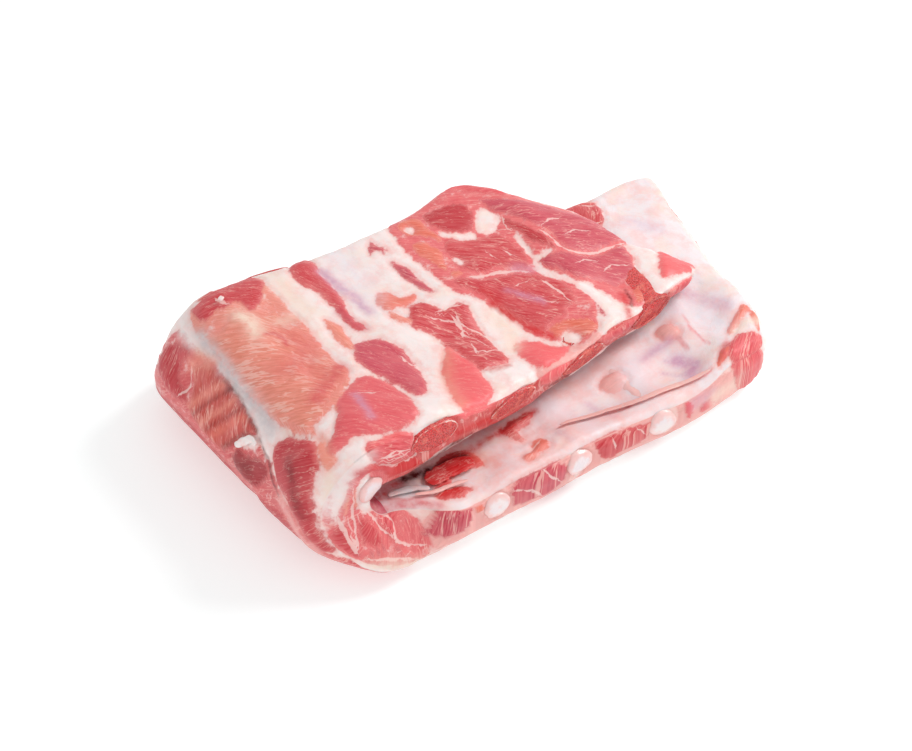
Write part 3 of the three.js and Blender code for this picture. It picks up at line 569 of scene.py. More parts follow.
# Films over the bone side, and painted shade in the slit under the upper leaf: colour, strength, half width
# and line.
BONE_FILMS_AND_SHADE = [
    (LILAC, 0.7, 2.2, [(63, -29.5), (70, -28), (77, -28)]),
    (LILAC, 0.95, 3.0, [(73.5, -37), (76, -42), (71, -47)]),
    (LILAC, 0.5, 3.5, [(100, -18), (104, -28), (98, -12)]),
    (LILAC, 0.5, 2.0, [(34, -34), (37, -44)]),
    (LILAC, 0.45, 1.6, [(16, -39), (16.5, -46)]),
    (BLUSH, 0.8, 2.4, [(46, -37), (47, -42)]),
    # The next two blood-red strokes lie in the slit under the upper leaf's front edge: partly red meat,
    # partly painted shade.
    (BLOOD, 0.75, 1.6, [(-16, -27), (0, -26), (16, -25.5)]),
    (BLOOD, 0.9, 7.0, [(-60, -18), (-40, -17), (-10, -16), (20, -15)]),
    (RED, 0.85, 2.6, [(-62, -27), (-54, -27.5), (-46, -26)]),
    (RED, 0.7, 2.0, [(-56, -33), (-50, -35), (-44, -38), (-40, -42)]),
    (PINK, 0.6, 3.0, [(-58, -38), (-52, -42), (-44, -45)]),
    (SHADOW_RED, 1.0, 2.2, [(-42, -25.5), (-34, -26.5), (-26, -27.5), (-19, -28.5)]),
    (BLUSH, 0.55, 5.0, [(-22, -44), (-10, -46), (6, -47), (24, -45)]),
    (BLUSH, 0.5, 4.0, [(20, -41), (34, -43), (48, -50), (66, -52)]),
    (BLUSH, 0.5, 4.0, [(-8, -34), (10, -33), (26, -32)]),
    (BLUSH, 0.5, 4.0, [(30, -24), (50, -22), (66, -18)]),
    (BLUSH, 0.45, 6.0, [(56, -40), (62, -34)]),
    (BLUSH, 0.8, 0.9, [(18, -37.2), (28, -38.3), (38, -40.6), (43, -43), (52, -46), (64, -47.6),
     (77, -50.9)]),
    (PINK, 0.6, 0.7, [(30, -39), (38, -40.8), (43, -43), (49, -44.5), (56, -45.9), (64, -47.6),
     (72.5, -49.3), (77, -50.9)]),
    (RED, 0.7, 1.0, [(43, -43), (48, -43.5)]),
    (PINK, 0.7, 0.6, [(89.5, -22), (87, -28), (86.5, -33.5), (86, -39)]),
    (RED, 0.7, 1.1, [(79.4, -35), (79.6, -30)]),
    (ORANGE, 0.5, 3.5, [(-14, -31), (-12, -38)]),
    (RED, 0.7, 2.0, [(84, -50), (86, -46.5), (90, -44.5)]),
    (CREAM, 0.7, 2.0, [(97, -41), (104, -40), (109, -42)]),
    (BLUISH, 0.6, 6.0, [(88, -16), (94, -24), (96, -32)]),
    (BLUISH, 0.6, 6.0, [(58, -30), (50, -42)]),
    (BLUISH, 0.5, 5.0, [(22, -30), (30, -36), (26, -44)]),
    (LILAC, 0.6, 0.9, [(66, -38), (71, -44)]),
    (LILAC, 0.6, 0.9, [(70, -34), (76, -41)]),
    (ORANGE, 0.6, 3.5, [(104, 52), (98, 54)]),
    (SILVER, 0.9, 1.8, [(-50, -29.5), (-44, -31), (-38, -34)]),
    (RED, 0.6, 0.9, [(-53, -30), (-48, -33.5), (-40, -36.5)]),
    (BLUSH, 0.5, 2.5, [(104, 20), (101, 8), (98, -6)]),
    (LILAC, 0.35, 4.0, [(108, 30), (114, 22)]),
]


MEAT_TABLES = (MEAT_SIDE, MEAT_BACKING, MEAT_HOLES, MEAT_SEAMS, MEAT_FILMS_AND_SHADE)
SAWN_TABLES = (SAWN_FACE, SAWN_BACKING, SAWN_HOLES, SAWN_SEAMS, SAWN_FILMS_AND_SHADE)
BONE_TABLES = (BONE_SIDE, [], [], BONE_SEAMS, BONE_FILMS_AND_SHADE)


# Strands and flaps that stand up from the slab: name, side, colour, whether muscle, half width,
# half height, and the line it lies along.
STRANDS = [
    ("tendon_strand", "bone", SILVER, False, 1.3, 0.6, [(-53, -29.5), (-48, -30), (-43, -31.5), (-38, -35)]),
    ("tendon_branch", "bone", BLUSH, False, 0.8, 0.5, [(-45, -34), (-38, -37), (-31, -37.5), (-24.5, -39)]),
    ("hollow_flesh", "bone", BLOOD, True, 3.6, 0.4, [(-38, -32), (-30, -31), (-24, -31.5), (-17, -32)]),
    ("membrane_fold", "bone", BLUSH, False, 1.2, 0.2, [(17, -37), (26, -38.3), (37, -40.5), (43, -43.2),
     (52, -46), (64, -47.8), (77, -51)]),
    ("tear_flap", "meat", WHITE, False, 1.5, 0.6, [(-94.5, 17.5), (-90, 14), (-86, 10.5), (-86.5, 6.5)]),
    ("fat_fleck", "meat", WHITE, False, 1.1, 0.5, [(-58.4, 62), (-57.4, 59.3)]),
]


def between(a, b, t):
    return a + (b - a) * t


def smooth(t):
    t = np.clip(t, 0, 1)
    return t * t * (3 - 2 * t)


def hump(value, centre, half):
    return np.exp(-(((value - centre) / half) ** 2))


def along(points, value):
    """A smooth curve through the points of an outline, read at each value of its first number."""
    xs, ys = np.array(points, float).T
    slopes = np.empty(len(xs))
    slopes[1:-1] = (ys[2:] - ys[:-2]) / (xs[2:] - xs[:-2])
    slopes[0] = (ys[1] - ys[0]) / (xs[1] - xs[0])
    slopes[-1] = (ys[-1] - ys[-2]) / (xs[-1] - xs[-2])
    i = np.clip(np.searchsorted(xs, value) - 1, 0, len(xs) - 2)
    span = xs[i + 1] - xs[i]
    t = np.clip((value - xs[i]) / span, 0, 1)
    bend = t * (1 - t) * span * ((1 - t) * slopes[i] - t * slopes[i + 1])
    return between(ys[i], ys[i + 1], t * t * (3 - 2 * t)) + bend


def offset_from(line, x, y):
    """Distance from each place to the nearest point of an open line, below zero on its right."""
    best = np.full(np.shape(x), np.inf)
    for (ax, ay), (bx, by) in zip(line, line[1:]):
        dx, dy = bx - ax, by - ay
        t = np.clip(((x - ax) * dx + (y - ay) * dy) / (dx * dx + dy * dy), 0, 1)
        apart = np.hypot(x - ax - dx * t, y - ay - dy * t)
        side = np.where(dx * (y - ay) < dy * (x - ax), -1, 1)
        best = np.where(apart < np.abs(best), side * apart, best)
    return best


def distance_to(line, x, y):
    return np.abs(offset_from(line, x, y))


def relief_at(strips, x, y):
    return sum(height * hump(distance_to(line, x, y), 0, half) for line, half, height in strips)


def lower_top(x, y):
    """How high the bone side of the lower leaf stands above the floor."""
    return along(LOWER_THICKNESS, x) + relief_at(BONE_RELIEF, x, y) * smooth((x - FOLD_X) / LEAF_BLEND)


def fold_gap(across):
    return between(FOLD_GAP, FOLD_GAP_AT_BACK, smooth(across * 2))


def slit(x, across):
    """The slit between the leaves, tight at the back and open at the front beside the fold."""
    mouth = MOUTH_HEIGHT * hump(x, MOUTH_X, MOUTH_HALF_WIDTH) * (1 - smooth(across / MOUTH_DEPTH))
    tight = between(fold_gap(across), SLIT_HEIGHT, smooth((x - FOLD_X) / SLIT_CLOSES_OVER))
    return tight + mouth * smooth((x - FOLD_X) / LEAF_BLEND)


def meat_relief(x, y, through):
    return relief_at(MEAT_RELIEF, x, y) * smooth((through - 0.4) / 0.6)


def across_to(x, z, leaf, across):
    """The y of a point at this share of the way across, in the upper leaf (0) or the lower one (1)."""
    by_height = smooth(1 - z / RIM_HEIGHT_AT_FOLD)
    share = between(by_height, leaf, smooth((x - FOLD_X) / LEAF_BLEND))
    front = between(along(UPPER_FRONT, x), along(LOWER_FRONT, x), share)
    back = between(along(UPPER_BACK, x), along(LOWER_BACK, x), share)
    return between(front, back, across)


def softened(distances, radii):
    """Distances from a box's faces, with its edges turned into quarter ellipses."""
    inside = [np.maximum(0, 1 - d / r) for d, r in zip(distances, radii)]
    reach = np.maximum(np.sqrt(sum(v * v for v in inside)), 1e-9)
    k = np.maximum.reduce(inside) / reach
    return [np.where(d < r, r * (1 - v * k), d) for d, r, v in zip(distances, radii, inside)]


def upper_leaf(x, across, through):
    leans_back = along(UPPER_UNDERCUT, x) * (1 - through) * (1 - across)
    y = across_to(x, LEAF_AT_FOLD * (1 + through) + FOLD_GAP, 0, across) + leans_back
    full = along(UPPER_THICKNESS, x) * along(UPPER_EDGES, across)
    plain = between(LEAF_AT_FOLD, full, smooth((x - FOLD_X) / LEAF_BLEND))
    thickness = plain + meat_relief(x, y, through)
    return np.stack([x, y, lower_top(x, y) + slit(x, across) + thickness * through], -1)


def lower_leaf(x, across, through):
    y = across_to(x, LEAF_AT_FOLD * (1 - through), 1, across)
    return np.stack([x, y, lower_top(x, y) * (1 - through)], -1)


def fold(angle, across, through):
    """A place in the fold, with the angle 0 at the upper leaf and half a turn at the lower one."""
    inner = fold_gap(across) / 2
    middle = LEAF_AT_FOLD + inner
    plain = inner + LEAF_AT_FOLD * through
    y = across_to(np.full(np.shape(angle), FOLD_X), middle + plain * np.cos(angle), 0, across)
    clear_of_floor = smooth((np.pi - angle) / FLOOR_BLEND)
    relief = meat_relief(FOLD_X - angle * FOLD_HEIGHT / 2, y, through)
    radius = plain + relief * clear_of_floor
    low_down = np.sin(angle) ** 2 * smooth(angle / np.pi * 1.3)
    lean = FOLD_LEAN * low_down * smooth(across / LEAN_STARTS_AT) * through
    x = FOLD_X - radius * np.sin(angle) - lean
    return np.stack([x, y, middle + radius * np.cos(angle)], -1)


def folded(p, across, through):
    """Where each place of the flat slab lies once it is folded, and how far round it is."""
    angle = np.clip(np.pi * (p - FOLD_START) / (FOLD_END - FOLD_START), 0, np.pi)
    upper_x = between(along(UPPER_END, across), FOLD_X, np.clip(p / FOLD_START, 0, 1))
    lower_x = between(FOLD_X, along(LOWER_END, across), np.clip((p - FOLD_END) / (1 - FOLD_END), 0, 1))
    in_upper, in_lower = (p <= FOLD_START), (p >= FOLD_END)
    places = np.where(in_upper[:, None], upper_leaf(upper_x, across, through), fold(angle, across, through))
    places = np.where(in_lower[:, None], lower_leaf(lower_x, across, through), places)
    half_turn = np.pi * FOLD_HEIGHT / 2
    rounds = np.where(in_upper, upper_x, FOLD_X - angle * FOLD_HEIGHT / 2)
    return places, np.where(in_lower, 2 * FOLD_X - half_turn - lower_x, rounds)


def rib_line(leaf, place, depth):
    """The middle of a rib that lies at this depth, as a function of how far across the slab it is."""
    return lambda across: leaf(np.full(len(across), place), across, np.full(len(across), depth))


RIBS = [
    *(
        (f"rib_upper_{i + 1}", rib_line(upper_leaf, FIRST_UPPER_RIB_X + i * RIB_PITCH, UPPER_RIB_DEPTH),
         SHORT_RIB_REACH if i == 3 else 1, RIB_SIZE)
        for i in range(4)
    ),
    ("rib_fold", rib_line(fold, FOLD_RIB_ANGLE, FOLD_RIB_DEPTH), 1, CARTILAGE_SIZE[::-1]),
    *(
        (f"rib_lower_{i + 1}", rib_line(lower_leaf, FIRST_LOWER_RIB_X + i * RIB_PITCH, LOWER_RIB_DEPTH),
         1, CARTILAGE_SIZE)
        for i in range(3)
    ),
]


def edge_radii(p, across, through):
    at_fold = hump(p, (FOLD_START + FOLD_END) / 2, FOLD_END - FOLD_START) * smooth(through)
    turn = smooth((p - FOLD_START) / (FOLD_END - FOLD_START))
    back = between(BACK_RADIUS_ABOVE_FOLD, BACK_RADIUS_BELOW_FOLD, turn)
    side = np.where(across < 0.5, FRONT_RADIUS_AT_FOLD, back)
    return [
        np.full(np.shape(p), END_RADIUS),
        between(EDGE_RADIUS, side, at_fold),
        between(EDGE_RADIUS, FACE_RADIUS_AT_FOLD, at_fold),
    ]


def slab_places(flat):
    """Places on the rounded, folded slab for places in the flat box, and how far round each is."""
    p, across, through = flat.T
    near = [np.minimum(v, 1 - v) * size for v, size in zip(flat.T, FLAT_SIZE)]
    soft = softened(near, edge_radii(p, across, through))
    shares = [d / size for d, size in zip(soft, FLAT_SIZE)]
    return folded(*(np.where(v < 0.5, share, 1 - share) for v, share in zip(flat.T, shares)))


def as_linear(colour):
    """A colour from 0 to 255 as it looks, as the linear values that a shader works with."""
    share = np.array(colour, float) / 255
    return np.where(share <= 0.04045, share / 12.92, ((share + 0.055) / 1.055) ** 2.4)


def noise_at(places, size, seed=0):
    """Smooth noise from -1 to 1 whose lumps are about this size."""
    shifted = places / size + 17.3 * seed
    return np.array([noise.noise(Vector(v)) for v in shifted])


def layered_noise(places, layers):
    return sum(noise_at(places, size, seed) * height for size, height, seed in layers)


def closed_curve(outline):
    """Points along a smooth closed curve through an outline's corners."""
    here = np.array(outline, float)
    before, after, beyond = (np.roll(here, k, 0) for k in (1, -1, -2))
    t = np.arange(CURVE_STEPS)[:, None, None] / CURVE_STEPS
    bend = 2 * before - 5 * here + 4 * after - beyond
    turn = 3 * here - before - 3 * after + beyond
    curve = here + 0.5 * ((after - before) * t + bend * t * t + turn * t ** 3)
    return curve.transpose(1, 0, 2).reshape(-1, 2)


def depth_inside(outline, x, y):
    """How far each place lies inside an outline, in mm, and below zero outside it."""
    curve = closed_curve(outline)
    ring = np.vstack([curve, curve[:1]])
    inside = np.zeros(len(x), bool)
    for (ax, ay), (bx, by) in zip(ring, ring[1:]):
        if ay != by:
            inside ^= ((ay > y) != (by > y)) & (x < (bx - ax) * (y - ay) / (by - ay) + ax)
    return np.where(inside, 1, -1) * distance_to(ring, x, y)


class Paint:
    """The colours and fields of the meat at each vertex, read by its material and its relief."""

    def __init__(self, count, fat):
        self.muscle = np.full(count, -FIELD_LIMIT)
        self.seam = np.tile((FIELD_LIMIT, 0.0, 0.0), (count, 1))
        self.tint = np.tile(as_linear(RED), (count, 1))
        self.fat = np.tile(as_linear(fat), (count, 1))
        self.angle = np.zeros(count)
        self.fleck = np.full(count, 0.5)
        self.film_and_shade = np.zeros((count, 4))

    def add_side(self, chosen, x, y, tables):
        """Lay one side's muscles, seams, films and painted shade on the chosen vertices."""
        muscles, backing, holes, seams, films_and_shade = tables
        capped = [(*row, BACKING_DEPTH) for row in backing] + [(*row, np.inf) for row in muscles]
        for colour, grain, fleck, outline, most in capped:
            low, high = np.min(outline, 0) - FIELD_LIMIT, np.max(outline, 0) + FIELD_LIMIT
            near = chosen & (x > low[0]) & (x < high[0]) & (y > low[1]) & (y < high[1])
            depth = np.full(len(x), -np.inf)
            depth[near] = np.minimum(depth_inside(outline, x[near], y[near]), most)
            better = depth > self.muscle
            self.muscle[better] = depth[better]
            self.tint[better] = as_linear(colour)
            self.angle[better] = np.radians(grain)
            self.fleck[better] = fleck
        for outline in holes:
            depth = depth_inside(outline, x[chosen], y[chosen])
            self.muscle[chosen] = np.minimum(self.muscle[chosen], -depth)
        for half, line in seams:
            self.add_seam(chosen, half, offset_from(line, x[chosen], y[chosen]))
        for colour, strength, half, line in films_and_shade:
            share = strength * hump(distance_to(line, x[chosen], y[chosen]), 0, half)
            self.add_film_or_shade(chosen, colour, share)

    def add_seam(self, chosen, half, apart):
        """Keep the nearest seam: how far it lies to one side, half its width and its strength here."""
        gap = np.abs(apart) - half
        rows = np.array([apart, np.full(len(apart), half), 1 - smooth(gap / SEAM_REACH)]).T
        nearer = gap < np.abs(self.seam[chosen, 0]) - self.seam[chosen, 1]
        self.seam[chosen] = np.where(nearer[:, None], rows, self.seam[chosen])

    def add_film_or_shade(self, chosen, colour, share):
        """Lay a thin see-through film, or a stroke of painted shade, over what is there."""
        old = self.film_and_shade[chosen]
        alpha = share + old[:, 3] * (1 - share)
        kept = (old[:, 3] * (1 - share))[:, None]
        mixed = (old[:, :3] * kept + as_linear(colour) * share[:, None]) / np.maximum(alpha, 1e-6)[:, None]
        self.film_and_shade[chosen] = np.column_stack([mixed, alpha])

    def write(self, mesh, grain_x, grain_y):
        """Keep the fields on the mesh as attributes for the material."""
        along_grain = grain_x * np.cos(self.angle) + grain_y * np.sin(self.angle)
        across_grain = grain_y * np.cos(self.angle) - grain_x * np.sin(self.angle)
        opaque = np.ones(len(self.tint))
        fields = [
            ("muscle", "FLOAT", "value", np.clip(self.muscle, -FIELD_LIMIT, FIELD_LIMIT)),
            ("seam", "FLOAT_VECTOR", "vector", np.clip(self.seam, -FIELD_LIMIT, FIELD_LIMIT)),
            ("fleck", "FLOAT", "value", self.fleck),
            ("grain", "FLOAT_VECTOR", "vector", np.column_stack([along_grain, across_grain, self.angle])),
            ("tint", "FLOAT_COLOR", "color", np.column_stack([self.tint, opaque])),
            ("fat", "FLOAT_COLOR", "color", np.column_stack([self.fat, opaque])),
            ("film_and_shade", "FLOAT_COLOR", "color", self.film_and_shade),
        ]
        for name, kind, key, values in fields:
            attribute = mesh.attributes.new(name, kind, "POINT")
            attribute.data.foreach_set(key, np.ascontiguousarray(values, np.float32).ravel())


def linked(mesh, name, node="root"):
    """A finished object at the origin that rides on the body."""
    piece = bpy.data.objects.new(name, mesh)
    bpy.context.scene.collection.objects.link(piece)
    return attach(piece, node)


def vertex_places(mesh):
    places = np.empty(len(mesh.vertices) * 3)
    mesh.vertices.foreach_get("co", places)
    return places.reshape(-1, 3)


def move_vertices(mesh, places):
    mesh.vertices.foreach_set("co", np.ascontiguousarray(places, float).ravel())
    mesh.update()


def in_cad_box(places):
    return np.clip(places, CAD_LOW, CAD_HIGH)


def vertex_normals(mesh):
    normals = np.empty(len(mesh.vertices) * 3)
    mesh.vertex_normals.foreach_get("vector", normals)
    return normals.reshape(-1, 3)


def mesh_from(bm, name):
    mesh = bpy.data.meshes.new(name)
    bm.to_mesh(mesh)
    bm.free()
    return mesh


def gridded_box(name, counts):
    """A unit box in the middle of its mesh, with each side cut into a grid."""
    bm = bmesh.new()
    bmesh.ops.create_cube(bm, size=1)
    for axis, count in enumerate(counts):
        lines = [e for e in bm.edges if abs((e.verts[0].co - e.verts[1].co)[axis]) > 0.5]
        bmesh.ops.subdivide_edges(bm, edges=lines, cuts=count - 1, use_grid_fill=True)
    return mesh_from(bm, name)


def as_disc(a, b):
    """A place in a square from -1 to 1 moved to its place in the disc inside it."""
    return a * np.sqrt(1 - b * b / 2), b * np.sqrt(1 - a * a / 2)


def spaced(share, stops):
    """The place along the slab for a share of its grid lines, which are closer together in the fold."""
    shares, places = zip(*stops)
    return np.interp(share, shares, places)


def box_sides(flat):
    """Which vertices of the gridded box lie on each of its sides."""
    edge = 1e-6
    return {
        "meat": flat[:, 2] > 1 - edge,
        "bone": flat[:, 2] < edge,
        "front": flat[:, 1] < edge,
        "back": flat[:, 1] > 1 - edge,
        "upper end": flat[:, 0] < edge,
        "lower end": flat[:, 0] > 1 - edge,
    }


def paint_meat(flat, places, rounds):
    """Draw the muscles, fat, films and painted shade of every side of the slab."""
    x, y, z = places.T
    wobble = [layered_noise(places, layers) for layers in OUTLINE_NOISES]
    paint = Paint(len(flat), WHITE)
    on = box_sides(flat)
    lower = flat[:, 0] > FOLD_END
    front = on["front"] & ~on["meat"]
    bone = on["bone"] & lower & ~on["front"]
    hidden = on["bone"] & ~lower & ~on["front"]
    outside = ~(front | bone | hidden)
    paint.add_side(outside, rounds + wobble[0], y + wobble[1], MEAT_TABLES)
    paint.add_side(front, x + wobble[0], z + wobble[1], SAWN_TABLES)
    paint.add_side(bone, x + wobble[0], y + wobble[1], BONE_TABLES)
    size, height, seed = LAYERS_BEND
    layers = (flat[:, 2] - LAYERS_START + noise_at(places, size, seed) * height) * FLAT_SIZE[2]
    size, height, seed = STRIPES_BEND
    stripes = np.abs(noise_at(places * STRIPES_STRETCH, size, seed)) * height - STRIPES_WIDTH
    cut = on["back"] | on["upper end"] | on["lower end"]
    paint.muscle[cut] = np.minimum(paint.muscle, np.minimum(layers, stripes))[cut]
    paint.fat[bone] = as_linear(MEMBRANE)
    # The upper leaf's underside shows only in the slit: its deep red is partly meat colour and partly painted
    # shade.
    paint.fat[hidden] = as_linear(RASPBERRY)
    paint.fat[front & lower] = as_linear(RIM_FAT)
    return paint


def surface_relief(flat, places, paint, settings):
    """How far each vertex lies below the slab's plain surface, for grooves, fibres and lumps."""
    depth = paint.muscle
    crown = settings.muscle_crown * (1 - np.exp(-np.maximum(depth, 0) / CROWN_REACH))
    groove = settings.groove_depth * hump(depth, 0, GROOVE_HALF)
    grain_x, grain_y = np.cos(paint.angle), np.sin(paint.angle)
    flat_x, flat_y = flat[:, 0] * FLAT_SIZE[0], flat[:, 1] * FLAT_SIZE[1]
    along_grain = flat_x * grain_x + flat_y * grain_y
    across_grain = flat_y * grain_x - flat_x * grain_y
    by_grain = np.column_stack([along_grain / FIBRE_LENGTH, across_grain, paint.angle * FIBRE_SHIFT])
    strands = noise_at(by_grain, FIBRE_SIZE, 1)
    lumps = layered_noise(places, LUMP_NOISES)
    loose = LOOSE_HEIGHT * np.clip(paint.fleck - LOOSE_FROM, 0, 1)
    in_muscle = smooth(depth / MUSCLE_EDGE + 0.5)
    fibres = in_muscle * (FIBRE_HEIGHT + loose) * strands
    lumpy = ((1 - in_muscle) * LUMP_HEIGHT + loose) * lumps
    crease = CREASE_DEPTH * hump(paint.seam[:, 0], 0, CREASE_HALF) * paint.seam[:, 2]
    return crown - groove - crease + fibres + lumpy - settings.muscle_crown - CLEAR_OF_SOLID


class BuildMeat(bpy.types.Operator):
    """Fold the slab of meat and draw its muscles, fat seams, membranes and painted shade"""

    bl_idname = "spare_ribs.meat"
    bl_label = "Folded Meat"

    def execute(self, context):
        settings = context.scene.spare_ribs_meat
        mesh = gridded_box("meat_slab", GRID)
        flat = vertex_places(mesh) * (1, 1, -1) + 0.5
        flat[:, 0] = spaced(flat[:, 0], GRID_STOPS)
        places, rounds = slab_places(flat)
        low, high = places.min(0), places.max(0)
        middle = (CAD_LOW + CAD_HIGH) / 2 / MM
        offset = np.array([*(middle - (low + high) / 2)[:2], 0])
        context.scene["spare_ribs_offset"] = list(offset)
        paint = paint_meat(flat, places, rounds)
        move_vertices(mesh, places + offset)
        plain = mesh.copy()
        plain.name = "meat_plain"
        relief = surface_relief(flat, places, paint, settings)
        carved = places + offset + vertex_normals(mesh) * relief[:, None]
        sunk = rib_sockets(flat, carved - offset, settings.socket_depth)
        carved[:, 1] += sunk
        move_vertices(mesh, in_cad_box(carved * MM))
        mesh.shade_smooth()
        paint.write(mesh, flat[:, 0] * FLAT_SIZE[0], places[:, 1])
        mesh.materials.append(meat_material(settings))
        piece = linked(mesh, "meat_slab")
        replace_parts(piece, "meat")
        move_vertices(plain, (places + offset) * MM)
        return {"FINISHED"}


def rib_sockets(flat, places, depth):
    """How far each vertex of the sawn faces is pushed inwards along Y where a rib ends."""
    on = box_sides(flat)
    push = np.zeros(len(flat))
    for name, line, reach, size in RIBS:
        for side, across, turn in (("front", 0.0, 1), ("back", 1.0, -1)):
            if across <= reach:
                middle = line(np.array([across]))[0]
                x, z = (places[:, 0] - middle[0]) / size[0], (places[:, 2] - middle[2]) / size[1]
                near = hump((4 * (x * x + z * z)) ** 2, 0, SOCKET_REACH)
                push += np.where(on[side], near, 0) * depth * turn
    return push


def rib_end_places(slab, xs, zs, from_y, toward):
    """The y of the slab's plain surface at each x and z, seen along Y."""
    found = []
    for x, z in zip(xs, zs):
        place = slab.ray_cast(Vector((x, from_y, z)), Vector((0, toward, 0)))[0]
        found.append(math.nan if place is None else place.y)
    found = np.array(found)
    return np.where(np.isnan(found), np.nanmedian(found), found)


def rib_end_relief(is_bone, out, places, settings):
    """How far each place of a rib's end lies inside the slab's plain surface, in mm."""
    rounded = settings.end_depth + settings.rim_round * smooth((out - RIM_START) / (1 - RIM_START))
    if not is_bone:
        return rounded - settings.cartilage_swell * (1 - out ** 2)
    sponge = layered_noise(places / MM, SPONGE_NOISES)
    starts, ends = MARROW_EDGE
    marrow = 1 - smooth((out - starts) / (ends - starts))
    return rounded + settings.marrow_recess * marrow * (1 + SPONGE_SHARE * sponge)


def rib_mesh(name, line, reach, size, settings):
    """A rod through the slab with its ends laid on the sawn faces."""
    mesh = gridded_box(name, RIB_GRID)
    u, length, v = (vertex_places(mesh) * 2).T
    round_u, round_v = as_disc(u, v)
    share = (length + 1) / 2
    offset = np.array(bpy.context.scene["spare_ribs_offset"])
    middle = (line(share * min(reach, 1.0)) + offset) * MM
    around = np.column_stack([round_u, round_v, np.full(len(u), middle[0, 0] / MM / RIB_PITCH)])
    uneven = 1 + RIB_UNEVENNESS * noise_at(around, RIB_LUMP, 7)
    x = middle[:, 0] + round_u * uneven * size[0] / 2 * MM
    z = middle[:, 2] + round_v * uneven * size[1] / 2 * MM
    slab = plain_slab()
    front = rib_end_places(slab, x, z, -1.0, 1)
    back = rib_end_places(slab, x, z, 1.0, -1) if reach >= 1 else middle[:, 1]
    out = np.hypot(round_u, round_v)
    sunk = rib_end_relief("upper" in name, out, np.column_stack([x, z, x]), settings)
    at_front, at_back = 1 - smooth(share * END_FADE), smooth((share - 1) * END_FADE + 1)
    y = between(front, back, share) + sunk * MM * (at_front - at_back)
    move_vertices(mesh, in_cad_box(np.column_stack([x, y, z])))
    mesh.shade_smooth()
    rim = mesh.attributes.new("rim", "FLOAT", "POINT")
    rim.data.foreach_set("value", out.astype(np.float32))
    return mesh


def plain_slab():
    mesh = bpy.data.meshes["meat_plain"]
    polygons = [tuple(p.vertices) for p in mesh.polygons]
    return BVHTree.FromPolygons([v.co for v in mesh.vertices], polygons)


class BuildRibBones(bpy.types.Operator):
    """Lay the four sawn rib bones in the upper leaf"""

    bl_idname = "spare_ribs.bones"
    bl_label = "Rib Bones"

    def execute(self, context):
        settings = context.scene.spare_ribs_bones
        material = marrow_material(settings)
        for name, line, reach, size in RIBS[:4]:
            mesh = rib_mesh(name + "_bone", line, reach, size, settings)
            mesh.materials.append(material)
            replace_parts(linked(mesh, name + "_bone"), name)
        return {"FINISHED"}


class BuildCartilages(bpy.types.Operator):
    """Lay the white cartilage of the fold and the three of the lower leaf"""

    bl_idname = "spare_ribs.cartilages"
    bl_label = "Rib Cartilages"

    def execute(self, context):
        settings = context.scene.spare_ribs_bones
        material = cartilage_material(settings)
        for name, line, reach, size in RIBS[4:]:
            mesh = rib_mesh(name + "_cartilage", line, reach, size, settings)
            mesh.materials.append(material)
            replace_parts(linked(mesh, name + "_cartilage"), name)
        return {"FINISHED"}


def on_bone_side(x, y, lift):
    """Places this far above the bone side of the lower leaf."""
    return np.stack([x, y, lower_top(x, y) + lift], -1)


def on_meat_side(s, y, lift):
    """Places this far above the meat side, with s running on past the fold."""
    over, on_leaf = np.maximum(FOLD_X - s, 0), s > FOLD_X
    angle, x = over * 2 / FOLD_HEIGHT, np.maximum(s, FOLD_X)
    height = FOLD_HEIGHT / 2 * (1 + np.cos(angle))
    front, back = across_to(x, height, 0, 0.0), across_to(x, height, 0, 1.0)
    across = (y - front) / (back - front)
    places = fold(angle, across, 1 + lift / LEAF_AT_FOLD)
    above = upper_leaf(x, across, np.ones(len(s))) + np.outer(lift, (0, 0, 1))
    return np.where(on_leaf[:, None], above, places)


def strand_mesh(name, side, colour, is_muscle, half, high, line):
    """A flattened strand that tapers at both ends and lies along a line on the slab."""
    mesh = gridded_box(name, STRAND_GRID)
    u, v, w = (vertex_places(mesh) * 2).T
    round_v, round_w = as_disc(v, w)
    line = np.array(line, float)
    lengths = np.append(0, np.cumsum(np.hypot(*np.diff(line, axis=0).T)))
    way = (u + 1) / 2 * lengths[-1]
    ahead, behind = (np.array([np.interp(way + step, lengths, k) for k in line.T]) for step in (1, -1))
    tangent = (ahead - behind) / np.maximum(np.hypot(*(ahead - behind)), 1e-6)
    s, y = (ahead + behind) / 2
    seed = lengths[-1]
    rough = noise_at(np.column_stack([way, round_v * 2, round_w * 2]), STRAND_LUMP, seed)
    taper = (np.maximum(1 - u ** 4, 0.01) ** 0.5) * (1 + STRAND_UNEVENNESS * rough)
    s = s - tangent[1] * round_v * half * taper
    y = y + tangent[0] * round_v * half * taper
    lift = (round_w * taper - STRAND_SINK) * high
    places = (on_bone_side if side == "bone" else on_meat_side)(s, y, lift)
    places = (places + np.array(bpy.context.scene["spare_ribs_offset"])) * MM
    move_vertices(mesh, in_cad_box(places))
    mesh.shade_smooth()
    paint = Paint(len(u), colour)
    paint.muscle[:] = FIELD_LIMIT if is_muscle else -FIELD_LIMIT
    paint.tint[:] = as_linear(colour)
    paint.write(mesh, s, y)
    return mesh


class BuildStrands(bpy.types.Operator):
    """Lay tendon, silver skin and small flaps on the slab"""

    bl_idname = "spare_ribs.strands"
    bl_label = "Strands and Flaps"

    def execute(self, context):
        for name, *form in STRANDS:
            mesh = strand_mesh(name, *form)
            mesh.materials.append(bpy.data.materials["Raw Meat"])
            linked(mesh, name)
        return {"FINISHED"}


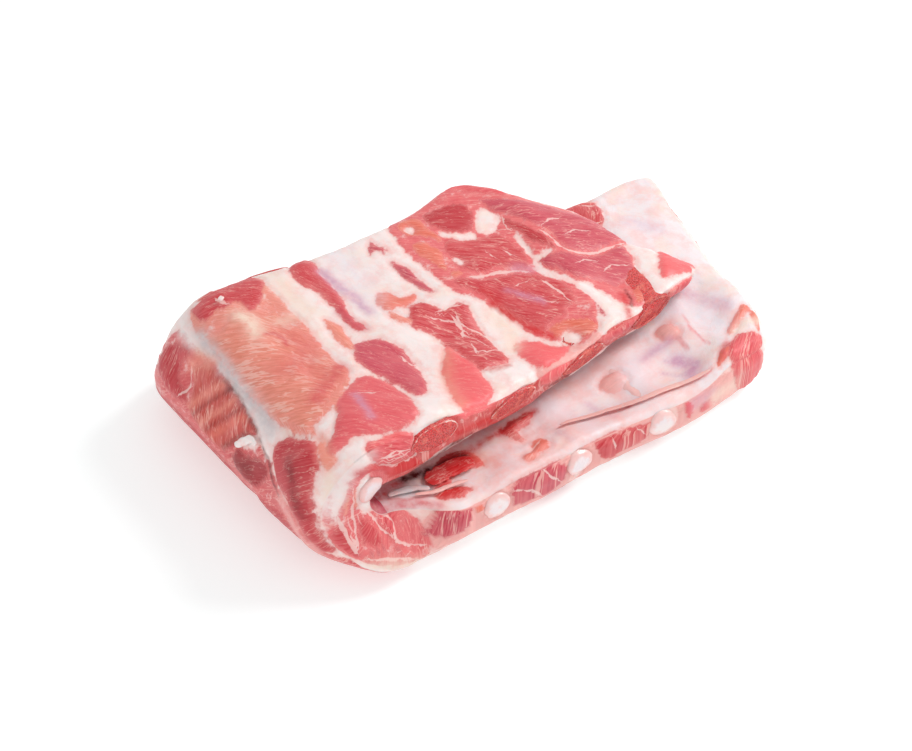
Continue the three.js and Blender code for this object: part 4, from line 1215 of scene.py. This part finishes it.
class Graph:
    """Short calls that add nodes to a tree, taking values or other nodes' outputs as inputs."""

    def __init__(self, tree):
        self.tree = tree

    def node(self, kind, inputs=(), **settings):
        made = self.tree.nodes.new(kind)
        for name, value in settings.items():
            setattr(made, name, value)
        for key, value in dict(inputs).items():
            if isinstance(value, bpy.types.NodeSocket):
                self.tree.links.new(value, made.inputs[key])
            else:
                made.inputs[key].default_value = value
        return made

    def maths(self, operation, *values):
        return self.node("ShaderNodeMath", enumerate(values), operation=operation).outputs[0]

    def attribute(self, name):
        return self.node("ShaderNodeAttribute", attribute_name=name)

    def mix(self, share, a, b):
        made = self.node("ShaderNodeMix", {"Factor": share}, data_type="RGBA")
        for key, value in ((6, a), (7, b)):
            if isinstance(value, bpy.types.NodeSocket):
                self.tree.links.new(value, made.inputs[key])
            else:
                made.inputs[key].default_value = (*as_linear(value), 1)
        return made.outputs[2]

    def step(self, value, low, high, bottom=0.0, top=1.0):
        ends = {"Value": value, "From Min": low, "From Max": high, "To Min": bottom, "To Max": top}
        made = self.node("ShaderNodeMapRange", ends, interpolation_type="SMOOTHSTEP")
        return made.outputs["Result"]

    def noise(self, vector, scale, detail, roughness):
        inputs = {"Vector": vector, "Scale": scale, "Detail": detail, "Roughness": roughness}
        return self.node("ShaderNodeTexNoise", inputs).outputs[0]

    def frayed(self, value, noise_value, span):
        """A value that noise moves up and down over this span."""
        raised = self.maths("MULTIPLY_ADD", noise_value, span, value)
        return self.maths("SUBTRACT", raised, span / 2)

    def stretched(self, vector, scale):
        made = self.node("ShaderNodeMapping", {"Vector": vector, "Scale": scale})
        return made.outputs["Vector"]


def node_group(name, inputs, outputs):
    """A new shader node group with these sockets, and the graph to fill it."""
    tree = bpy.data.node_groups.new(name, "ShaderNodeTree")
    for socket, kind in inputs:
        tree.interface.new_socket(name=socket, in_out="INPUT", socket_type=kind)
    for socket, kind in outputs:
        tree.interface.new_socket(name=socket, in_out="OUTPUT", socket_type=kind)
    graph = Graph(tree)
    return tree, graph, graph.node("NodeGroupInput").outputs, graph.node("NodeGroupOutput").inputs


def fibre_group():
    """Muscle fibres and marbling that run along the grain."""
    tree, graph, given, made = node_group(
        "Meat Fibres",
        [("Grain", "NodeSocketVector"), ("Flecks", "NodeSocketFloat")],
        [("Fibre", "NodeSocketFloat"), ("Marbling", "NodeSocketFloat"), ("Blotch", "NodeSocketFloat")],
    )
    grain = given["Grain"]
    fine = graph.noise(graph.stretched(grain, FINE_FIBRES), 1.0, 3.0, 0.6)
    streak = graph.noise(graph.stretched(grain, FAT_STREAKS), 1.0, 3.0, 0.6)
    ridge = graph.maths("ABSOLUTE", graph.maths("SUBTRACT", streak, 0.5))
    places = graph.noise(graph.stretched(grain, STREAKY_PLACES), 1.0, 2.0, 0.5)
    allowed = graph.maths("MULTIPLY", graph.step(places, 0.42, 0.62), given["Flecks"])
    width = graph.maths("MULTIPLY", allowed, FAT_STREAK_WIDTH)
    line = graph.maths("SUBTRACT", width, ridge)
    links = tree.links
    links.new(fine, made["Fibre"])
    links.new(graph.step(line, -0.02, 0.02), made["Marbling"])
    links.new(graph.noise(graph.stretched(grain, PALE_BLOTCHES), 1.0, 2.0, 0.5), made["Blotch"])
    return tree


def grouped(graph, tree, inputs):
    made = graph.tree.nodes.new("ShaderNodeGroup")
    made.node_tree = tree
    for key, value in inputs.items():
        graph.tree.links.new(value, made.inputs[key])
    return made.outputs


def new_material(name):
    material = bpy.data.materials.new(name)
    material.use_nodes = True
    graph = Graph(material.node_tree)
    return material, graph, material.node_tree.nodes["Principled BSDF"].inputs


def seam_share(graph, place):
    """How much of a fat seam shows at each place, from its line, with wavy and broken edges."""
    stored = graph.attribute("seam").outputs["Vector"]
    seam = graph.node("ShaderNodeSeparateXYZ", {"Vector": stored}).outputs
    apart = graph.maths("ABSOLUTE", graph.frayed(seam["X"], graph.noise(place, *SEAM_NOISE), 1.8))
    uneven = graph.step(graph.noise(place, *SEAM_WIDTH_NOISE), 0.36, 0.6, 0.2, 1.35)
    width = graph.maths("MULTIPLY", seam["Y"], uneven)
    line = graph.step(graph.maths("SUBTRACT", width, apart), -0.2, 0.2, 0.0, 0.68)
    return graph.maths("MULTIPLY", line, seam["Z"])


def let_light_in(shader, share, radius, scale):
    """Light goes under the surface: for red, green and blue, this share of this distance in metres."""
    shader["Subsurface Weight"].default_value = share
    shader["Subsurface Radius"].default_value = radius
    shader["Subsurface Scale"].default_value = scale


def flesh_colour(graph, parts, fleck):
    """Muscle in its own tint, with fibres, paler blotches and marbling."""
    tint = graph.attribute("tint").outputs["Color"]
    deep = graph.node("ShaderNodeHueSaturation", {"Color": tint, "Saturation": 1.12, "Value": 0.8})
    pale = graph.mix(0.2, tint, PALE_FIBRE)
    streaked = graph.mix(graph.step(parts["Fibre"], 0.3, 0.7), deep.outputs["Color"], pale)
    flesh = graph.mix(graph.step(fleck, 0.0, 1.2, 0.25, 0.8), tint, streaked)
    blotched = graph.mix(graph.step(parts["Blotch"], 0.45, 0.75, 0, 0.2), flesh, PALE_FIBRE)
    return graph.mix(graph.maths("MULTIPLY", parts["Marbling"], 0.55), blotched, PALE_STREAK)


def fat_colour(graph, place):
    """Fat in its own colour, with rosy and creamy clouds."""
    fat = graph.attribute("fat").outputs["Color"]
    rosy = graph.step(graph.noise(place, *ROSY_NOISE), 0.42, 0.68, 0, 0.5)
    creamy = graph.step(graph.noise(place, *CREAMY_NOISE), 0.48, 0.7, 0, 0.5)
    return graph.mix(creamy, graph.mix(rosy, fat, BLUSH), CREAM)


def meat_material(settings):
    """Moist raw muscle between white fat seams, with thin films and strokes of painted shade over both."""
    material, graph, shader = new_material("Raw Meat")
    grain = graph.attribute("grain").outputs["Vector"]
    fleck = graph.attribute("fleck").outputs["Fac"]
    depth = graph.attribute("muscle").outputs["Fac"]
    place = graph.node("ShaderNodeTexCoord").outputs["Object"]
    parts = grouped(graph, fibre_group(), {"Grain": grain, "Flecks": fleck})
    ragged = graph.frayed(depth, graph.noise(place, *EDGE_NOISE), 4.2)
    in_muscle = graph.step(ragged, -0.35, 0.75)
    marbled = flesh_colour(graph, parts, fleck)
    edged = graph.mix(graph.step(ragged, 0.3, 2.4, 0.3, 0.0), marbled, PALE_FIBRE)
    halo = graph.mix(graph.step(ragged, -2.4, 0.0, 0.0, 0.5), fat_colour(graph, place), BLUSH)
    plain = graph.mix(in_muscle, halo, edged)
    seamed = graph.mix(seam_share(graph, place), plain, SEAM_FAT)
    film_and_shade = graph.attribute("film_and_shade")
    streaky = graph.step(graph.noise(place, *FILM_NOISE), 0.25, 0.7, 0.6, 1.1)
    share = graph.maths("MINIMUM", graph.maths("MULTIPLY", film_and_shade.outputs["Alpha"], streaky), 1.0)
    coloured = graph.mix(share, seamed, film_and_shade.outputs["Color"])
    links = material.node_tree.links
    links.new(coloured, shader["Base Color"])
    links.new(graph.step(parts["Fibre"], 0.3, 0.7, 0.36, 0.5), shader["Roughness"])
    height = graph.maths("MULTIPLY_ADD", graph.noise(place, *BUMP_NOISE), 0.6, parts["Fibre"])
    bump = graph.node("ShaderNodeBump", {"Height": height, "Strength": 0.35, "Distance": 0.0004})
    links.new(bump.outputs["Normal"], shader["Normal"])
    let_light_in(shader, settings.translucency, (1.0, 0.35, 0.3), 0.0025)
    shader["Coat Weight"].default_value = settings.wetness
    shader["Coat Roughness"].default_value = 0.22
    shader["Specular IOR Level"].default_value = 0.28
    return material


def marrow_material(settings):
    """Spongy red marrow inside a thin pale rim of bone."""
    material, graph, shader = new_material("Sawn Rib")
    place = graph.node("ShaderNodeTexCoord").outputs["Object"]
    rim = graph.attribute("rim").outputs["Fac"]
    ragged = graph.maths("MULTIPLY_ADD", graph.noise(place, *RIM_NOISE), 0.4, rim)
    sponge = graph.noise(place, *MARROW_NOISE)
    dark, bright = (tuple(c * 255 for c in v) for v in (settings.marrow_dark, settings.marrow_bright))
    marrow = graph.mix(graph.step(sponge, 0.36, 0.62), dark, bright)
    cell_inputs = {"Vector": place, "Scale": MARROW_CELLS}
    cells = graph.node("ShaderNodeTexVoronoi", cell_inputs, feature="DISTANCE_TO_EDGE")
    walls = graph.step(cells.outputs["Distance"], 0.0, 0.1, 0.3, 0.0)
    lattice = graph.mix(walls, marrow, BLUSH)
    patches = graph.step(graph.noise(place, *MARROW_PATCH_NOISE), 0.5, 0.7, 0, 0.5)
    patchy = graph.mix(patches, lattice, ORANGE)
    on_end = graph.step(rim, 0.97, 0.995, 0.85, 0.0)
    coloured = graph.mix(graph.step(ragged, 1.13, 1.2, 0.0, on_end), patchy, BONE_RIM)
    links = material.node_tree.links
    links.new(coloured, shader["Base Color"])
    bump = graph.node("ShaderNodeBump", {"Height": sponge, "Strength": 0.5, "Distance": 0.0005})
    links.new(bump.outputs["Normal"], shader["Normal"])
    shader["Roughness"].default_value = 0.5
    let_light_in(shader, settings.translucency, (1.0, 0.3, 0.25), 0.0015)
    shader["Coat Weight"].default_value = 0.1
    return material


def cartilage_material(settings):
    """Bluish-white cartilage that light shines into."""
    material, graph, shader = new_material("Cartilage")
    place = graph.node("ShaderNodeTexCoord").outputs["Object"]
    rim = graph.attribute("rim").outputs["Fac"]
    clouds = graph.step(graph.noise(place, *CARTILAGE_CLOUD_NOISE), 0.35, 0.7)
    blushes = graph.step(graph.noise(place, *CARTILAGE_BLUSH_NOISE), 0.55, 0.75, 0, 0.35)
    rosy = graph.mix(blushes, graph.mix(clouds, CARTILAGE, WHITE), BLUSH)
    ragged = graph.maths("MULTIPLY_ADD", graph.noise(place, *CARTILAGE_EDGE_NOISE), 0.9, rim)
    edged = graph.mix(graph.step(ragged, 0.95, 1.35, 0, 0.75), rosy, BLUSH)
    links = material.node_tree.links
    links.new(edged, shader["Base Color"])
    gloss = graph.step(graph.noise(place, *CARTILAGE_GLOSS_NOISE), 0.3, 0.7, 0.28, 0.42)
    links.new(gloss, shader["Roughness"])
    height = graph.noise(place, *CARTILAGE_BUMP_NOISE)
    bump = graph.node("ShaderNodeBump", {"Height": height, "Strength": 0.2})
    links.new(bump.outputs["Normal"], shader["Normal"])
    let_light_in(shader, settings.translucency, (1.0, 0.6, 0.6), 0.003)
    shader["Coat Weight"].default_value = 0.3
    return material


def white_floor(settings):
    bm = bmesh.new()
    bmesh.ops.create_grid(bm, x_segments=1, y_segments=1, size=FLOOR_SIZE)
    bmesh.ops.translate(bm, verts=bm.verts, vec=(0, 0, -FLOOR_DROP))
    mesh = mesh_from(bm, "floor")
    material, _, shader = new_material("White Floor")
    shader["Base Color"].default_value = (*settings.floor_colour, 1)
    shader["Roughness"].default_value = 0.9
    shader["Specular IOR Level"].default_value = 0.1
    shader["Emission Color"].default_value = (1, 1, 1, 1)
    shader["Emission Strength"].default_value = settings.floor_glow
    mesh.materials.append(material)
    floor = bpy.data.objects.new("floor", mesh)
    bpy.context.scene.collection.objects.link(floor)


def white_room(strength):
    """Even white light from all round."""
    world = bpy.data.worlds.new("White Room")
    world.use_nodes = True
    background = world.node_tree.nodes["Background"].inputs
    background["Color"].default_value = (1, 1, 1, 1)
    background["Strength"].default_value = strength
    bpy.context.scene.world = world


def camera_on(target, settings):
    azimuth, elevation = settings.camera_azimuth, settings.camera_elevation
    level = math.cos(elevation)
    away = Vector((math.sin(azimuth) * level, -math.cos(azimuth) * level, math.sin(elevation)))
    data = bpy.data.cameras.new("camera")
    data.lens = CAMERA_LENS
    data.sensor_width = CAMERA_SENSOR
    data.sensor_fit = "HORIZONTAL"
    camera = bpy.data.objects.new("camera", data)
    camera.location = target + away * settings.camera_distance
    camera.rotation_euler = (-away).to_track_quat("-Z", "Y").to_euler()
    bpy.context.scene.collection.objects.link(camera)
    bpy.context.scene.camera = camera


def soft_light(name, place, target, size, power, colour):
    data = bpy.data.lights.new(name, "AREA")
    data.shape = "DISK"
    data.size = size
    data.energy = power
    data.color = colour
    light = bpy.data.objects.new(name, data)
    light.location = place
    light.rotation_euler = (Vector(target) - Vector(place)).to_track_quat("-Z", "Y").to_euler()
    bpy.context.scene.collection.objects.link(light)


class BuildStage(bpy.types.Operator):
    """Set the floor, the soft light and the camera at the photograph's viewing angle"""

    bl_idname = "spare_ribs.stage"
    bl_label = "Floor, Light and Camera"

    def execute(self, context):
        settings = context.scene.spare_ribs_stage
        scene = context.scene
        offset = Vector((*scene["spare_ribs_offset"][:2], 0)) * MM
        target = Vector((0, 0, TARGET_HEIGHT)) * MM + offset
        white_floor(settings)
        white_room(settings.room_light)
        soft_light("key", KEY_PLACE, target, 0.5, settings.key_power, (1, 0.99, 0.97))
        soft_light("fill", FILL_PLACE, target, 0.8, settings.fill_power, (0.98, 0.99, 1))
        soft_light("side", SIDE_PLACE, target, 0.8, settings.side_power, (1, 1, 1))
        camera_on(target, settings)
        scene.view_settings.view_transform = "Standard"
        return {"FINISHED"}


class MeatSettings(bpy.types.PropertyGroup):
    """Relief and gloss of the meat."""

    muscle_crown: FloatProperty(
        name="Muscle Crown", description="How far a muscle swells above the fat, in mm",
        default=1.1, min=0, max=3,
    )
    groove_depth: FloatProperty(
        name="Groove Depth", description="How deep the line round a muscle is, in mm",
        default=0.45, min=0, max=2,
    )
    socket_depth: FloatProperty(
        name="Socket Depth", description="How far the meat draws back round a rib end, in mm", default=0.9,
        min=0, max=4,
    )
    translucency: FloatProperty(
        name="Translucency", description="How much light goes into the meat", default=0.25, min=0, max=1,
        subtype="FACTOR",
    )
    wetness: FloatProperty(
        name="Wetness", description="How wet the surface looks", default=0.1, min=0, max=1, subtype="FACTOR"
    )


class BoneSettings(bpy.types.PropertyGroup):
    """Colours and relief of the rib ends."""

    marrow_bright: FloatVectorProperty(
        name="Bright Marrow", description="Colour of the bright marrow", default=(0.87, 0.2, 0.2),
        size=3, min=0, max=1, subtype="COLOR_GAMMA",
    )
    marrow_dark: FloatVectorProperty(
        name="Dark Marrow", description="Colour of the dark marrow", default=(0.66, 0.07, 0.08),
        size=3, min=0, max=1, subtype="COLOR_GAMMA",
    )
    marrow_recess: FloatProperty(
        name="Marrow Recess", description="How far the marrow lies inside its rim, in mm", default=0.35,
        min=0, max=2,
    )
    cartilage_swell: FloatProperty(
        name="Cartilage Swell", description="How far a cartilage end bulges, in mm",
        default=0.3, min=0, max=3,
    )
    end_depth: FloatProperty(
        name="End Depth", description="How far a rib end lies below the slab's plain surface, in mm",
        default=0.6, min=0, max=3,
    )
    rim_round: FloatProperty(
        name="Rim Round", description="How far the rim of a rib end rounds off, in mm",
        default=0.4, min=0, max=3,
    )
    translucency: FloatProperty(
        name="Translucency", description="How much light goes into the ribs", default=0.3, min=0, max=1,
        subtype="FACTOR",
    )


class StageSettings(bpy.types.PropertyGroup):
    """Floor, light and camera."""

    floor_colour: FloatVectorProperty(
        name="Floor Colour", description="Colour of the floor", default=(0.72, 0.76, 0.76), size=3, min=0,
        max=1, subtype="COLOR",
    )
    floor_glow: FloatProperty(
        name="Floor Glow", description="Light that the white floor gives off itself",
        default=0.4, min=0, max=2,
    )
    room_light: FloatProperty(
        name="Room Light", description="Strength of the light from all round", default=0.62, min=0, max=5
    )
    key_power: FloatProperty(
        name="Key Light", description="Power of the main light in watts", default=8, min=0, max=500
    )
    fill_power: FloatProperty(
        name="Fill Light", description="Power of the light from the front in watts",
        default=1.5, min=0, max=500,
    )
    side_power: FloatProperty(
        name="Side Light", description="Power of the light from the fold's side in watts",
        default=1.5, min=0, max=500,
    )
    camera_azimuth: FloatProperty(
        name="Camera Azimuth", description="Turn of the camera from the front", default=math.radians(-38),
        subtype="ANGLE",
    )
    camera_elevation: FloatProperty(
        name="Camera Elevation", description="Height of the camera above the floor",
        default=math.radians(47), subtype="ANGLE",
    )
    camera_distance: FloatProperty(
        name="Camera Distance", description="Distance of the camera from the meat", default=0.9, min=0.1,
        unit="LENGTH",
    )


class SpareRibsPanel(bpy.types.Panel):
    """The steps that build the spare ribs"""

    bl_idname = "VIEW3D_PT_spare_ribs"
    bl_label = "Spare Ribs"
    bl_space_type = "VIEW_3D"
    bl_region_type = "UI"
    bl_category = "Spare Ribs"

    def draw(self, context):
        for group, operators in STEPS:
            box = self.layout.box()
            settings = getattr(context.scene, group)
            for name in settings.bl_rna.properties.keys():
                if name not in ("rna_type", "name"):
                    box.prop(settings, name)
            for operator in operators:
                box.operator("spare_ribs." + operator)


STEPS = [
    ("spare_ribs_meat", ["meat", "strands"]),
    ("spare_ribs_bones", ["bones", "cartilages"]),
    ("spare_ribs_stage", ["stage"]),
]
SETTINGS = [
    ("spare_ribs_meat", MeatSettings),
    ("spare_ribs_bones", BoneSettings),
    ("spare_ribs_stage", StageSettings),
]
CLASSES = [
    MeatSettings, BoneSettings, StageSettings, BuildMeat, BuildStrands, BuildRibBones, BuildCartilages,
    BuildStage, SpareRibsPanel,
]


def register():
    for cls in CLASSES:
        bpy.utils.register_class(cls)
    for name, group in SETTINGS:
        setattr(bpy.types.Scene, name, PointerProperty(type=group))


def unregister():
    for name, group in SETTINGS:
        delattr(bpy.types.Scene, name)
    for cls in reversed(CLASSES):
        bpy.utils.unregister_class(cls)


def main():
    register()
    for group, operators in STEPS:
        for operator in operators:
            getattr(bpy.ops.spare_ribs, operator)()
    bpy.data.meshes.remove(bpy.data.meshes["meat_plain"])


if __name__ == "__main__":
    main()
